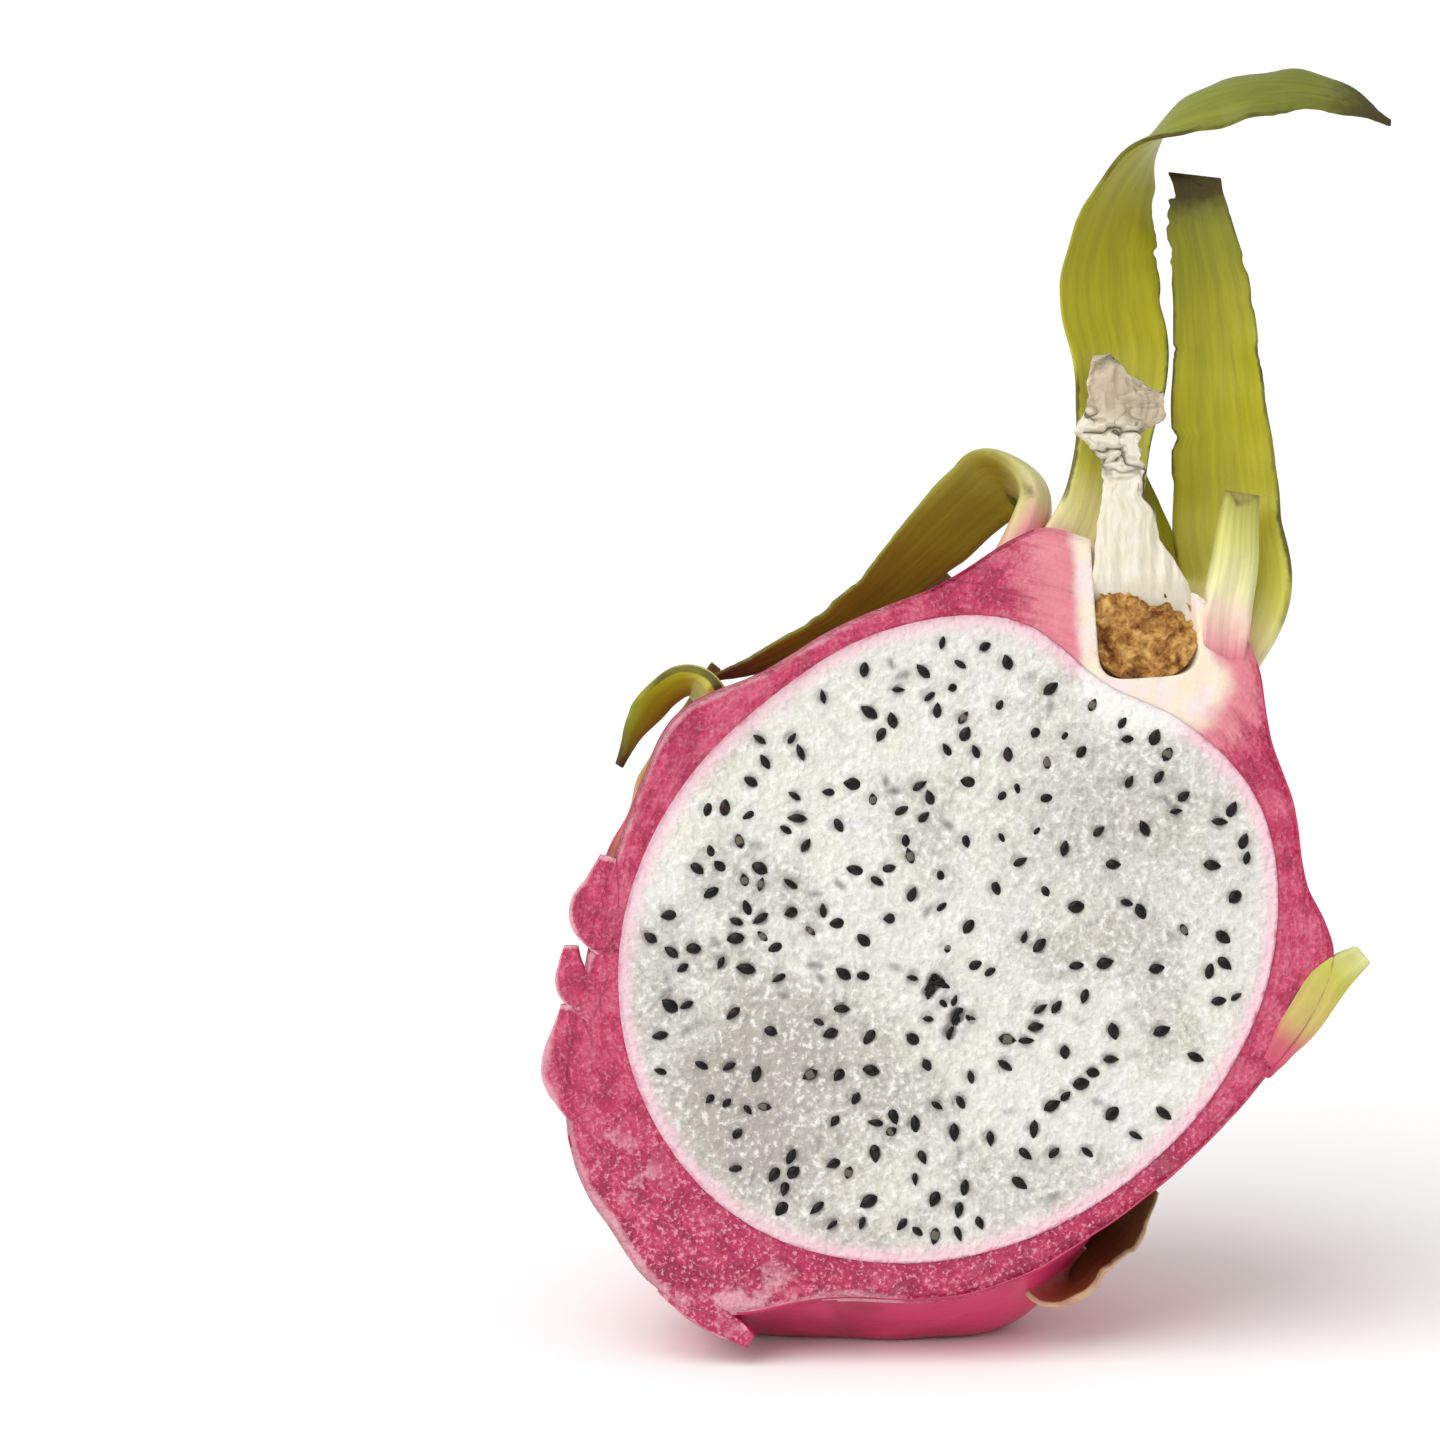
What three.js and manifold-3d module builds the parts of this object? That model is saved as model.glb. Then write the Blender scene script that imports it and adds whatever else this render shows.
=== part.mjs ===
// Half a dragon fruit, cut lengthwise through the flower end, standing on the flat spot under its rind.
// Millimetres and degrees, +Z up, origin at the middle of the flat spot.
//
// Everything is first laid out in the frame of the cut face: U runs right across the face, V runs up it and W
// comes out of it. A place on the fruit is a turn around the face, counted from U towards V, and an angle back
// from the face, from 0 at the cut rim to 90 at the back of the fruit.
import * as THREE from "three";
import { mergeVertices } from "three/addons/utils/BufferGeometryUtils.js";
import Module from "manifold-3d";

const wasm = await Module();
wasm.setup();

// ---- Driving dimensions ----

const FLESH_RADIUS = 39; // mean radius of the white flesh on the cut face
const FLESH_DEPTH = 39; // flesh behind the cut face
const RIND = 4; // rind at the back of the fruit
const LEAN = 8; // how far the cut face leans back from upright
const FLOWER_TURN = 60; // where the flower end, with its neck, lies round the face
const NECK_RISE = 10.5; // how far the neck stands above the rind around it
const NECK_SPREAD = 23; // angle over which the neck falls back into the rind
const RIM_FADE = 26; // angle back over which the rim's own thickness fades to RIND
const FOOT_TURN = 264; // where the foot, the bulge that the fruit stands on, lies round the face
const FOOT_BACK = 28;
const FOOT_HEIGHT = 12;
const FOOT_WIDE = 31; // spread of the foot round the face
const FOOT_DEEP = 22; // spread of the foot from front to back
const FLAT_DEPTH = 2.2; // how far the foot is pressed flat where it stands
const PIT_TURN = 52; // where the pit that the dried flower leaves lies round the face
const PIT_RADIUS = 6.6;
const PIT_FLOOR = 3.4; // pale tissue between the flesh and the floor of the pit
const PIT_LEAN = 4; // the pit leans this far left of V
const SCAR_HEIGHT = 8.5; // brown pad on the floor of the pit
const TUBE_HEIGHT = 31; // dried flower tube above the pad
const TUBE_CLEARANCE = 0.8; // between the foot of the tube and the pit's wall
const TUBE_DEEP = 0.9; // depth of the half tube as a share of its half width
const TUBE_SIDES = 10;
const STEM_RADIUS = 4.5; // corky scar at the stem end
const STEM_THICK = 2.2;
const GAP = 0.3; // clearance between neighbouring pieces
const SINK = 2.6; // how far the root of a bract starts under the rind before it is trimmed to it

// Flesh outline on the cut face: turn, and how far it lies outside FLESH_RADIUS.
const FLESH_OUTLINE = [
  [0, 1.6], [24, 3.5], [42, 1.4], [58, -1.4], [76, 1.6], [97, 0], [124, -2.8], [152, -2.5],
  [180, -0.8], [210, 0.9], [234, 1.3], [262, -0.7], [286, -2.3], [310, -2.7], [336, -1],
];

// Rind thickness along the cut rim, without the neck: turn, thickness.
const RIM_THICKNESS = [
  [0, 7.1], [10, 3.4], [24, 4.1], [40, 4.4], [72, 3.6], [90, 3.2], [102, 2.7], [122, 3], [138, 6], [150, 4.4],
  [165, 3.1], [178, 3.4], [190, 5.2], [203, 9], [213, 11.1], [221, 11], [230, 12.2], [240, 10.4], [247, 6],
  [255, 3.2], [272, 3.5], [298, 2.9], [313, 2.7], [327, 3.1], [341, 4.4], [350, 6.2],
];

// Outline of the dried flower tube: share of its height, shift to the right and half width as shares of tubeHalf.
const TUBE_OUTLINE = [
  [0, 0, 1], [0.16, -0.08, 0.82], [0.33, -0.2, 0.56], [0.5, -0.32, 0.47], [0.64, -0.42, 0.46], [0.73, -0.62, 0.64],
  [0.83, -0.36, 0.8], [0.93, -0.36, 0.66], [1, -0.5, 0.36],
];

// ---- Materials ----

const colours = {
  rind: [0xc22a58, 0.45],
  flesh: [0xeceeea, 0.35],
  leaf: [0x9fa93a, 0.5],
  scale: [0xc94f68, 0.5],
  tube: [0xd8cdb0, 0.9],
  scar: [0xa8742f, 0.95],
  cork: [0x8a7448, 0.95],
};
const materials = Object.fromEntries(
  Object.entries(colours).map(([name, [color, roughness]]) => [
    name,
    new THREE.MeshStandardMaterial({ name, color, roughness, metalness: 0 }),
  ]),
);

// ---- Small tools ----

const rad = THREE.MathUtils.degToRad;
const deg = THREE.MathUtils.radToDeg;
const vec = (u, v, w) => new THREE.Vector3(u, v, w);
const wrap = (angle) => ((angle % 360) + 360) % 360;
const away = (a, b) => Math.abs(((a - b + 540) % 360) - 180); // angle between two turns

// A smooth closed curve through [turn, value] pairs, as a function of the turn.
function closedCurve(pairs) {
  const n = pairs.length;
  const at = (k) => pairs[((k % n) + n) % n][1];
  return (turn) => {
    const t = wrap(turn);
    let k = n - 1;
    while (k > 0 && pairs[k][0] > t) k--;
    const span = wrap(pairs[(k + 1) % n][0] - pairs[k][0]);
    const x = wrap(t - pairs[k][0]) / span;
    const [a, b, c, d] = [at(k - 1), at(k), at(k + 1), at(k + 2)];
    const bend = x * (2 * a - 5 * b + 4 * c - d + x * (3 * (b - c) + d - a));
    return b + 0.5 * x * (c - a + bend);
  };
}

// A closed solid from rings of points: each ring is joined to the next, and the end rings are closed by fans.
function solidFromRings(rings) {
  const count = rings[0].length;
  const points = rings.flat();
  const index = [];
  for (let r = 0; r + 1 < rings.length; r++)
    for (let k = 0; k < count; k++) {
      const a = r * count + k;
      const b = r * count + ((k + 1) % count);
      index.push(a, b, b + count, a, b + count, a + count);
    }
  for (const [ring, start] of [[rings[0], 0], [rings.at(-1), (rings.length - 1) * count]]) {
    const middle = points.length;
    points.push(ring.reduce((sum, p) => sum.add(p), vec(0, 0, 0)).divideScalar(count));
    for (let k = 0; k < count; k++) {
      const [a, b] = [start + k, start + ((k + 1) % count)];
      index.push(...(start ? [a, b, middle] : [b, a, middle]));
    }
  }
  const geometry = new THREE.BufferGeometry().setFromPoints(points).setIndex(index);
  return solidFromGeometry(geometry);
}

// A three.js geometry as a manifold solid, with its faces turned outwards.
function solidFromGeometry(source) {
  const bare = source.clone().deleteAttribute("normal").deleteAttribute("uv");
  const merged = mergeVertices(bare, 1e-4);
  const corners = merged.index.array;
  const triVerts = [];
  for (let i = 0; i < corners.length; i += 3) {
    const [a, b, c] = corners.slice(i, i + 3);
    if (a !== b && b !== c && c !== a) triVerts.push(a, b, c);
  }
  const make = (triangles) =>
    new wasm.Manifold(
      new wasm.Mesh({
        numProp: 3,
        vertProperties: merged.attributes.position.array,
        triVerts: new Uint32Array(triangles),
      }),
    );
  const solid = make(triVerts);
  if (solid.volume() > 0) return solid;
  return make(triVerts.reverse());
}

// A manifold solid as a named mesh.
function meshOf(name, solid, material) {
  const { numProp, vertProperties, triVerts } = solid.getMesh();
  const points = new Float32Array((vertProperties.length / numProp) * 3);
  for (let i = 0; i * numProp < vertProperties.length; i++)
    points.set(vertProperties.subarray(i * numProp, i * numProp + 3), i * 3);
  const geometry = new THREE.BufferGeometry()
    .setAttribute("position", new THREE.BufferAttribute(points, 3))
    .setIndex(new THREE.BufferAttribute(triVerts, 1));
  geometry.computeVertexNormals();
  const mesh = new THREE.Mesh(geometry, material);
  mesh.name = name;
  return mesh;
}

// A big box on one side of a plane through a point: everything on the side that the normal points to.
function halfSpace(point, normal) {
  const size = 400;
  const box = new THREE.BoxGeometry(size, size, size).translate(0, 0, size / 2);
  const turned = new THREE.Quaternion().setFromUnitVectors(vec(0, 0, 1), normal.clone().normalize());
  box.applyQuaternion(turned).translate(point.x, point.y, point.z);
  return solidFromGeometry(box);
}

// ---- The fruit's body ----

const fleshOffset = closedCurve(FLESH_OUTLINE);
const rimThickness = closedCurve(RIM_THICKNESS);
const fleshRadius = (turn) => FLESH_RADIUS + fleshOffset(turn);
const direction = (turn, back) =>
  vec(Math.cos(rad(turn)) * Math.cos(rad(back)), Math.sin(rad(turn)) * Math.cos(rad(back)), -Math.sin(rad(back)));
const flowerWay = direction(FLOWER_TURN, 0);

// A smooth hump around a place on the fruit; a higher power gives it a flatter top and steeper sides.
const hump = (x, spread, power = 2) => Math.exp(-(Math.abs(x / spread) ** power));

// A point on the flesh, grown outwards by some clearance.
function fleshPoint(turn, back, grown = 0) {
  const wide = (fleshRadius(turn) + grown) * Math.cos(rad(back));
  return vec(wide * Math.cos(rad(turn)), wide * Math.sin(rad(turn)), -(FLESH_DEPTH + grown) * Math.sin(rad(back)));
}

// A point on the outside of the rind, with its neck and foot, grown outwards by some clearance.
function rindPoint(turn, back, grown = 0) {
  const rim = RIND + (rimThickness(turn) - RIND) * hump(back, RIM_FADE);
  const neck = NECK_RISE * hump(deg(direction(turn, back).angleTo(flowerWay)), NECK_SPREAD, 4);
  const foot = FOOT_HEIGHT * hump(away(turn, FOOT_TURN), FOOT_WIDE, 4) * hump(back - FOOT_BACK, FOOT_DEEP, 4);
  return fleshPoint(turn, back, rim + neck + grown).add(direction(turn, back).multiplyScalar(foot));
}

// A dome from its rim on the cut face to the back of the fruit, with its front carried a little past the face.
function dome(point, columns, rows, past) {
  const rings = [];
  const ring = (back, forward) =>
    Array.from({ length: columns }, (_, k) => point((360 * k) / columns, back).add(vec(0, 0, forward)));
  if (past) rings.push(ring(0, past));
  for (let r = 0; r < rows; r++) rings.push(ring((90 * r) / rows, 0));
  rings.push(ring(89.9, 0));
  return solidFromRings(rings);
}

const outerPoint = (turn, back) => rindPoint(turn, back);
const grownPoint = (turn, back) => rindPoint(turn, back, GAP);
const cavityPoint = (turn, back) => fleshPoint(turn, back, GAP);
const COLUMNS = 80;
const ROWS = 16;
const cutFace = halfSpace(vec(0, 0, 0), vec(0, 0, 1)); // what the knife took away

// The plane that the fruit stands on, in the frame of the cut face.
const upWay = vec(0, Math.cos(rad(LEAN)), Math.sin(rad(LEAN)));
function lowestOfRind() {
  let low = Infinity;
  for (let turn = 200; turn < 340; turn += 2)
    for (let back = 0; back < 90; back += 2) low = Math.min(low, rindPoint(turn, back).dot(upWay));
  return low;
}
const standLevel = lowestOfRind() + FLAT_DEPTH;
const table = halfSpace(upWay.clone().multiplyScalar(standLevel), upWay.clone().negate());

// The pit at the flower end, a round-bottomed bore that leans with the flower tube.
const pitWay = vec(-Math.sin(rad(PIT_LEAN)), Math.cos(rad(PIT_LEAN)), 0);
const pitFloor = direction(PIT_TURN, 0).multiplyScalar(fleshRadius(PIT_TURN) + PIT_FLOOR);
function turnedAboutPit(profile, steps = 20) {
  const geometry = new THREE.LatheGeometry(profile.map(([r, h]) => new THREE.Vector2(r, h)), steps);
  const turned = new THREE.Quaternion().setFromUnitVectors(vec(0, 1, 0), pitWay);
  geometry.applyQuaternion(turned).translate(pitFloor.x, pitFloor.y, pitFloor.z);
  return solidFromGeometry(geometry);
}
const PIT_MOUTH = 40; // the pit's bore is carried this far, well past the neck
const pit = turnedAboutPit([
  [0, 0], [PIT_RADIUS * 0.6, PIT_RADIUS * 0.12], [PIT_RADIUS, PIT_RADIUS * 0.55],
  [PIT_RADIUS, PIT_MOUTH], [0, PIT_MOUTH],
]);

const outer = dome(outerPoint, COLUMNS, ROWS);
const grownOuter = dome(grownPoint, COLUMNS, ROWS, GAP);
const peel = outer.subtract(dome(cavityPoint, 64, 10, 1)).subtract(pit).subtract(table);
const flesh = dome((turn, back) => fleshPoint(turn, back), 64, 10);

// The brown pad on the pit's floor, and the dried tube of the flower that stands on it. Both are cut by the knife.
const padRadius = PIT_RADIUS - GAP;
const scar = turnedAboutPit([
  [0, GAP], [padRadius * 0.6, PIT_RADIUS * 0.12 + GAP], [padRadius, PIT_RADIUS * 0.55 + GAP],
  [padRadius * 0.95, SCAR_HEIGHT * 0.8], [padRadius * 0.5, SCAR_HEIGHT], [0, SCAR_HEIGHT],
]).subtract(cutFace);
const tubeFoot = pitFloor.clone().add(vec(0, SCAR_HEIGHT + GAP, -0.2));
const tubeHalf = PIT_RADIUS - TUBE_CLEARANCE;
function halfTube(grown = 0) {
  return solidFromRings(
    TUBE_OUTLINE.map(([share, shift, half]) => {
      const rise = share * TUBE_HEIGHT + (share === 1 ? grown : 0);
      return Array.from({ length: TUBE_SIDES + 1 }, (_, k) => {
        const angle = (Math.PI * k) / TUBE_SIDES;
        const wide = half * tubeHalf + grown;
        const place = vec(shift * tubeHalf + wide * Math.cos(angle), rise, -TUBE_DEEP * wide * Math.sin(angle));
        return place.add(tubeFoot);
      });
    }),
  );
}

// ---- Bracts and scales ----

// One blade: a leaf-like strap lofted along a smooth spine that starts under the rind.
//   seat     turn and angle back of its root on the rind
//   start    where its spine starts under the rind, and reach the rest of the spine, both from the seat
//   shape    half width, thickness and cup from the root to the tip; cup is how far the edges turn outwards
//   facing   way that its outer side faces, from the root to the tip
function blade({ seat, start, reach, shape, facing }, rows, grown = 0) {
  const curve = (places, kind) => new THREE.CatmullRomCurve3(places, false, kind);
  const root = rindPoint(...seat);
  const sunk = start ?? direction(...seat).multiplyScalar(-SINK);
  const spine = curve([sunk, ...reach.map((place) => vec(...place))].map((place) => place.clone().add(root)));
  const shapes = curve(shape.map((row) => vec(...row)), "catmullrom");
  const ways = curve(facing.map((way) => vec(...way)), "catmullrom");
  const rings = [];
  for (let r = 0; r <= rows; r++) {
    const s = r / rows;
    const middle = spine.getPointAt(s);
    const along = spine.getTangentAt(s);
    const out = ways.getPoint(s);
    out.addScaledVector(along, -out.dot(along)).normalize();
    const across = along.clone().cross(out);
    const { x: half, y: thick, z: cup } = shapes.getPoint(s);
    const place = (q, side) =>
      middle.clone()
        .addScaledVector(across, q * (half + grown))
        .addScaledVector(out, cup * q * q + side * (thick / 2 + grown) * (1 - 0.75 * q * q));
    const shares = [-1, -0.5, 0, 0.5, 1];
    rings.push([...shares.map((q) => place(q, 1)), ...shares.toReversed().map((q) => place(q, -1))]);
  }
  return solidFromRings(rings);
}

// A scale on the back of the fruit, which leaves the rind at a slant towards the flower end and then lifts off it.
//   fromFlower   angle of its seat from the flower end
//   around       angle around the fruit, 0 at the back and positive towards the left of the face
const SKIN_CURVE = 42; // radius that the edges of a back scale wrap round
const BACK_ROOT = 9; // angle from a back scale's seat to where its spine starts under the rind
const BACK_POWER = 2.2; // how late a back scale bends away from the rind
const AXIS_CLEAR = 3; // smallest angle between a back scale's tip and the flower's axis
function backScale({ fromFlower, around, length, half, lift }) {
  const leftWay = direction(FLOWER_TURN + 90, 0);
  const aside = vec(0, 0, -Math.cos(rad(around))).addScaledVector(leftWay, Math.sin(rad(around)));
  const way = (angle) =>
    flowerWay.clone().multiplyScalar(Math.cos(rad(angle))).addScaledVector(aside, Math.sin(rad(angle)));
  const placeOf = (d) => [deg(Math.atan2(d.y, d.x)), deg(Math.asin(-d.z))];
  const onRind = (angle, above) => rindPoint(...placeOf(way(angle))).addScaledVector(way(angle), above);
  const seat = placeOf(way(fromFlower));
  const root = rindPoint(...seat);
  const turned = deg(length / root.length());
  const reach = [0, 0.25, 0.5, 0.75, 1].map((share) =>
    onRind(Math.max(fromFlower - turned * share, AXIS_CLEAR), lift * share ** BACK_POWER).sub(root).toArray(),
  );
  const wrap = -(half ** 2) / (2 * SKIN_CURVE);
  return {
    seat,
    start: onRind(fromFlower + BACK_ROOT, -SINK).sub(root),
    reach,
    shape: [[half * 0.7, 3.4, wrap], [half, 3.6, wrap], [half * 0.86, 3, wrap * 0.6], [half * 0.55, 2.2, 0],
      [half * 0.3, 1.6, 0.3], [half * 0.1, 1, 0.2]],
    facing: [way(fromFlower).toArray(), way(fromFlower - turned).toArray()],
  };
}

const BEHIND = [0, 0, -1];
const LEFTWARDS = [-1, 0.1, 0];

const longBracts = {
  bract_tall_hook: {
    seat: [70, 7],
    reach: [[2.4, 4.9, -0.4], [3.9, 13, -1.2], [4.6, 23.3, -2.2], [3.4, 30.4, -2.6], [3.6, 38.6, -2.6],
      [6.2, 45.6, -2.1], [10.8, 51.4, -1.6], [17.6, 54.9, -0.6], [25.6, 55.7, 0], [32.3, 54.5, 0.4], [37.9, 51.5, 0.8]],
    shape: [[5, 3.6, -0.6], [4.6, 2.8, -0.8], [4.6, 2, -1], [6.6, 1.6, -1.4], [7.2, 1.5, -1.6], [7, 1.5, -1.4],
      [6.2, 1.4, -1], [5.4, 1.3, -0.9], [4.4, 1.2, -0.8], [3, 1.1, -0.4], [0.5, 0.9, 0]],
    facing: [[-0.3, 0, -0.95], [-0.3, 0, -0.95], [-0.35, 0, -0.94], [-0.45, 0.1, -0.88], [-0.75, 0.4, -0.5],
      [-0.4, 0.85, 0.3], [0, 0.85, 0.5], [0.2, 0.85, 0.5]],
  },
  bract_tall_torn: {
    seat: [47, 9],
    reach: [[2.3, 5.7, 0.1], [1.6, 13.8, -0.7], [1, 23, -1.1], [0.3, 33.2, -1.4], [-0.7, 43.4, -1.4],
      [-2.4, 51.5, -0.9], [-3.3, 58.1, 0.1]],
    shape: [[6.6, 3.6, -1], [7, 2.8, -1.4], [6.6, 2, -1.8], [6, 1.6, -1.8], [5.2, 1.5, -1.4], [4.3, 1.3, -1],
      [3.3, 1.2, -0.6]],
    facing: [[0.45, 0, -0.88], [0.35, 0, -0.92], [0.25, 0, -0.95]],
  },
  bract_arch: {
    seat: [78, 9],
    reach: [[2, 4.1, -0.4], [1.8, 7.8, -1], [-1.3, 9.3, -2.2], [-4.4, 7.2, -3.4], [-8.4, 3.5, -4.4],
      [-13.2, -1.2, -4.9], [-17.8, -5.6, -4.4], [-22.4, -8.8, -3.4], [-27.5, -11.5, -1.9], [-32, -13.6, -0.9],
      [-37.6, -15.6, 0.1]],
    shape: [[3.4, 3, -0.4], [3.2, 2, -0.5], [4, 1.5, -0.6], [4.4, 1.4, -0.7], [4.4, 1.3, -0.7], [3.8, 1.3, -0.6],
      [2.8, 1.2, -0.5], [2.2, 1.1, -0.4], [1.8, 1, -0.3], [0.6, 0.9, 0]],
    facing: [[0.95, 0.1, 0.2], [0.9, 0.3, 0.1], [0.3, 0.8, -0.5], [-0.3, 0.5, -0.8], [-0.35, 0.55, -0.75],
      [-0.4, 0.65, -0.65], [-0.4, 0.7, -0.6]],
  },
  bract_sliced: {
    seat: [46, 2],
    reach: [[-1.6, 6, -0.6], [-1, 10.5, -0.4], [0.2, 16.8, 0]],
    shape: [[4, 5, 0], [3.6, 5, 0], [2.4, 4, 0], [0.7, 2.4, 0]],
    facing: [BEHIND, BEHIND],
  },
  bract_neck_back: {
    seat: [59, 17],
    reach: [[2.4, 5.1, -1.2], [1.8, 12.4, -1.6], [0.8, 18.5, -0.2]],
    shape: [[4.4, 3, -0.8], [4.4, 2, -0.8], [3, 1.4, -0.6], [0.8, 1, -0.2]],
    facing: [BEHIND, BEHIND],
  },
  bract_small_hook: {
    seat: [132, 5],
    reach: [[-1.6, 2.2, 0], [-5.9, 0.6, 0], [-8.7, -3.4, 0.4], [-10.9, -8.5, 0.8]],
    shape: [[4, 3, -0.4], [3.6, 2, -0.4], [2.8, 1.5, -0.3], [0.8, 1, 0]],
    facing: [[0.4, 1, -0.2], [-0.3, 0.8, -0.5], [-0.7, 0.5, -0.5]],
  },
};

const rimScales = {
  scale_left_upper: {
    seat: [178, 2], reach: [[-0.6, 2.5, 0.5], [-0.4, 6.1, 0.5], [0.2, 9.7, 0.5]],
    shape: [[7, 3.6, -0.8], [7, 3, -0.8], [5, 2.8, -0.4], [3, 2.4, 0]], facing: [LEFTWARDS, LEFTWARDS],
  },
  scale_left_mid: {
    seat: [189, 2], reach: [[-0.9, 2.4, 0.5], [-1.8, 4.8, 0.5], [-1.5, 7.2, 0.5]],
    shape: [[5, 3.4, -0.6], [4.6, 2.8, -0.6], [3.4, 2.4, -0.3], [1.6, 1.6, 0]], facing: [LEFTWARDS, LEFTWARDS],
  },
  scale_left_lower: {
    seat: [203, 2], reach: [[-0.6, 3.9, 0.7], [-0.8, 8.3, 0.7], [-0.4, 12.1, 0.7]],
    shape: [[10, 3.4, -1.4], [9, 3, -1.2], [6.4, 2.6, -0.6], [2.4, 1.8, 0]], facing: [LEFTWARDS, LEFTWARDS],
  },
  scale_bottom_tip: {
    seat: [242, 2], reach: [[1.6, -0.2, 0], [3.8, 0.2, -0.2], [6.2, 1.4, -0.4]],
    shape: [[5, 3.4, 0], [4.4, 3, 0], [3, 2.2, 0], [1, 1.2, 0]], facing: [[-0.2, -1, 0], [-0.2, -1, 0]],
  },
  scale_right_tip: {
    seat: [350, 2], reach: [[2.6, 2.5, 0.4], [4.8, 5.3, 0.3], [6.2, 7.7, 0.2]],
    shape: [[7, 4, -0.8], [6.4, 4, -0.8], [4.4, 3.4, -0.4], [2.2, 2.2, 0]], facing: [[0.9, -0.5, 0], [0.9, -0.5, 0]],
  },
  scale_lower_right: {
    seat: [289, 12], reach: [[2, 0.4, 1], [5.4, 3.2, 1], [9.2, 6.9, 1], [12.8, 12, 1]],
    shape: [[6, 3.4, -1], [6.4, 2.4, -1], [5.6, 1.8, -0.6], [3.6, 1.4, -0.2], [1, 1, 0]],
    facing: [[0.4, -0.85, -0.35], [0.6, -0.65, -0.45]],
  },
};

const backScales = {
  scale_back_foot: { fromFlower: 137, around: -16, length: 27, half: 13, lift: 6 },
  scale_back_stem: { fromFlower: 150, around: 44, length: 22, half: 11, lift: 5 },
  scale_back_low: { fromFlower: 118, around: 16, length: 29, half: 14, lift: 8 },
  scale_back_low_right: { fromFlower: 110, around: -50, length: 28, half: 13, lift: 8 },
  scale_back_low_left: { fromFlower: 108, around: 58, length: 27, half: 12, lift: 8 },
  scale_back_middle: { fromFlower: 88, around: -17, length: 31, half: 14, lift: 10 },
  scale_back_middle_left: { fromFlower: 82, around: 34, length: 30, half: 12, lift: 10 },
  scale_back_right: { fromFlower: 72, around: -56, length: 25, half: 11, lift: 4 },
  scale_back_upper_left: { fromFlower: 62, around: 56, length: 22, half: 9, lift: 5 },
  scale_back_upper: { fromFlower: 57, around: 8, length: 31, half: 12, lift: 12 },
  scale_back_upper_right: { fromFlower: 46, around: -36, length: 26, half: 9, lift: 11 },
};

// The corky scar where the fruit was cut from its stem.
const STEM_PLACE = [229, 15];
function stemScar() {
  const disc = new THREE.CylinderGeometry(STEM_RADIUS * 0.8, STEM_RADIUS, STEM_THICK * 2, 16);
  const out = direction(...STEM_PLACE);
  const place = rindPoint(...STEM_PLACE);
  disc.applyQuaternion(new THREE.Quaternion().setFromUnitVectors(vec(0, 1, 0), out));
  disc.translate(place.x, place.y, place.z);
  return solidFromGeometry(disc).subtract(grownOuter).subtract(table);
}

// A blade trimmed to the rind, the knife, the table and the pieces that lie beneath it.
function seated(blueprint, rows, below) {
  const whole = blade(blueprint, rows).subtract(grownOuter).subtract(cutFace).subtract(table).subtract(pit);
  const parts = below.reduce((solid, other) => solid.subtract(other), whole).decompose();
  return parts.sort((a, b) => b.volume() - a.volume())[0];
}

// ---- The fruit ----

const fruit = new THREE.Group();
const stand = new THREE.Group();
stand.add(fruit);

const add = (name, solid, material) => fruit.add(meshOf(name, solid, material));
add("peel", peel, materials.rind);
add("flesh", flesh, materials.flesh);
add("flower_scar", scar, materials.scar);
add("flower_tube", halfTube(), materials.tube);
add("stem_scar", stemScar(), materials.cork);

const LONG_ROWS = 22;
const SHORT_ROWS = 9;
const placed = [halfTube(GAP)];
function addBlades(blueprints, rows, material) {
  for (const [name, blueprint] of Object.entries(blueprints)) {
    add(name, seated(blueprint, rows, placed), material);
    placed.push(blade(blueprint, rows, GAP));
  }
}
addBlades(longBracts, LONG_ROWS, materials.leaf);
addBlades(rimScales, SHORT_ROWS, materials.scale);
addBlades(
  Object.fromEntries(Object.entries(backScales).map(([name, scale]) => [name, backScale(scale)])),
  SHORT_ROWS,
  materials.scale,
);

// The fruit stands on its flat spot, with the middle of that spot at the origin.
fruit.rotation.x = Math.PI / 2 - rad(LEAN);
fruit.updateMatrix();
const flatSpot = new THREE.Box3();
const corner = vec(0, 0, 0);
const peelPoints = fruit.getObjectByName("peel").geometry.attributes.position;
for (let i = 0; i < peelPoints.count; i++) {
  corner.fromBufferAttribute(peelPoints, i);
  if (Math.abs(corner.dot(upWay) - standLevel) < 0.01) flatSpot.expandByPoint(corner.applyMatrix4(fruit.matrix));
}
fruit.position.copy(flatSpot.getCenter(vec(0, 0, 0)).negate());

export default stand;
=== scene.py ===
"""Half a dragon fruit, cut lengthwise and standing on its rind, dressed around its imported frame.

Lengths are millimetres and angles degrees in the frame of the cut face: u runs right across the
face, v up it and w out of it. A place on the fruit is a turn round the face, counted from u
towards v, and an angle back from it.
"""

import logging
import math
from collections.abc import Callable, Sequence
from dataclasses import dataclass, field
from enum import Enum
from typing import Any

import bpy
import numpy as np
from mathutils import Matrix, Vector
from mathutils.bvhtree import BVHTree


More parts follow.
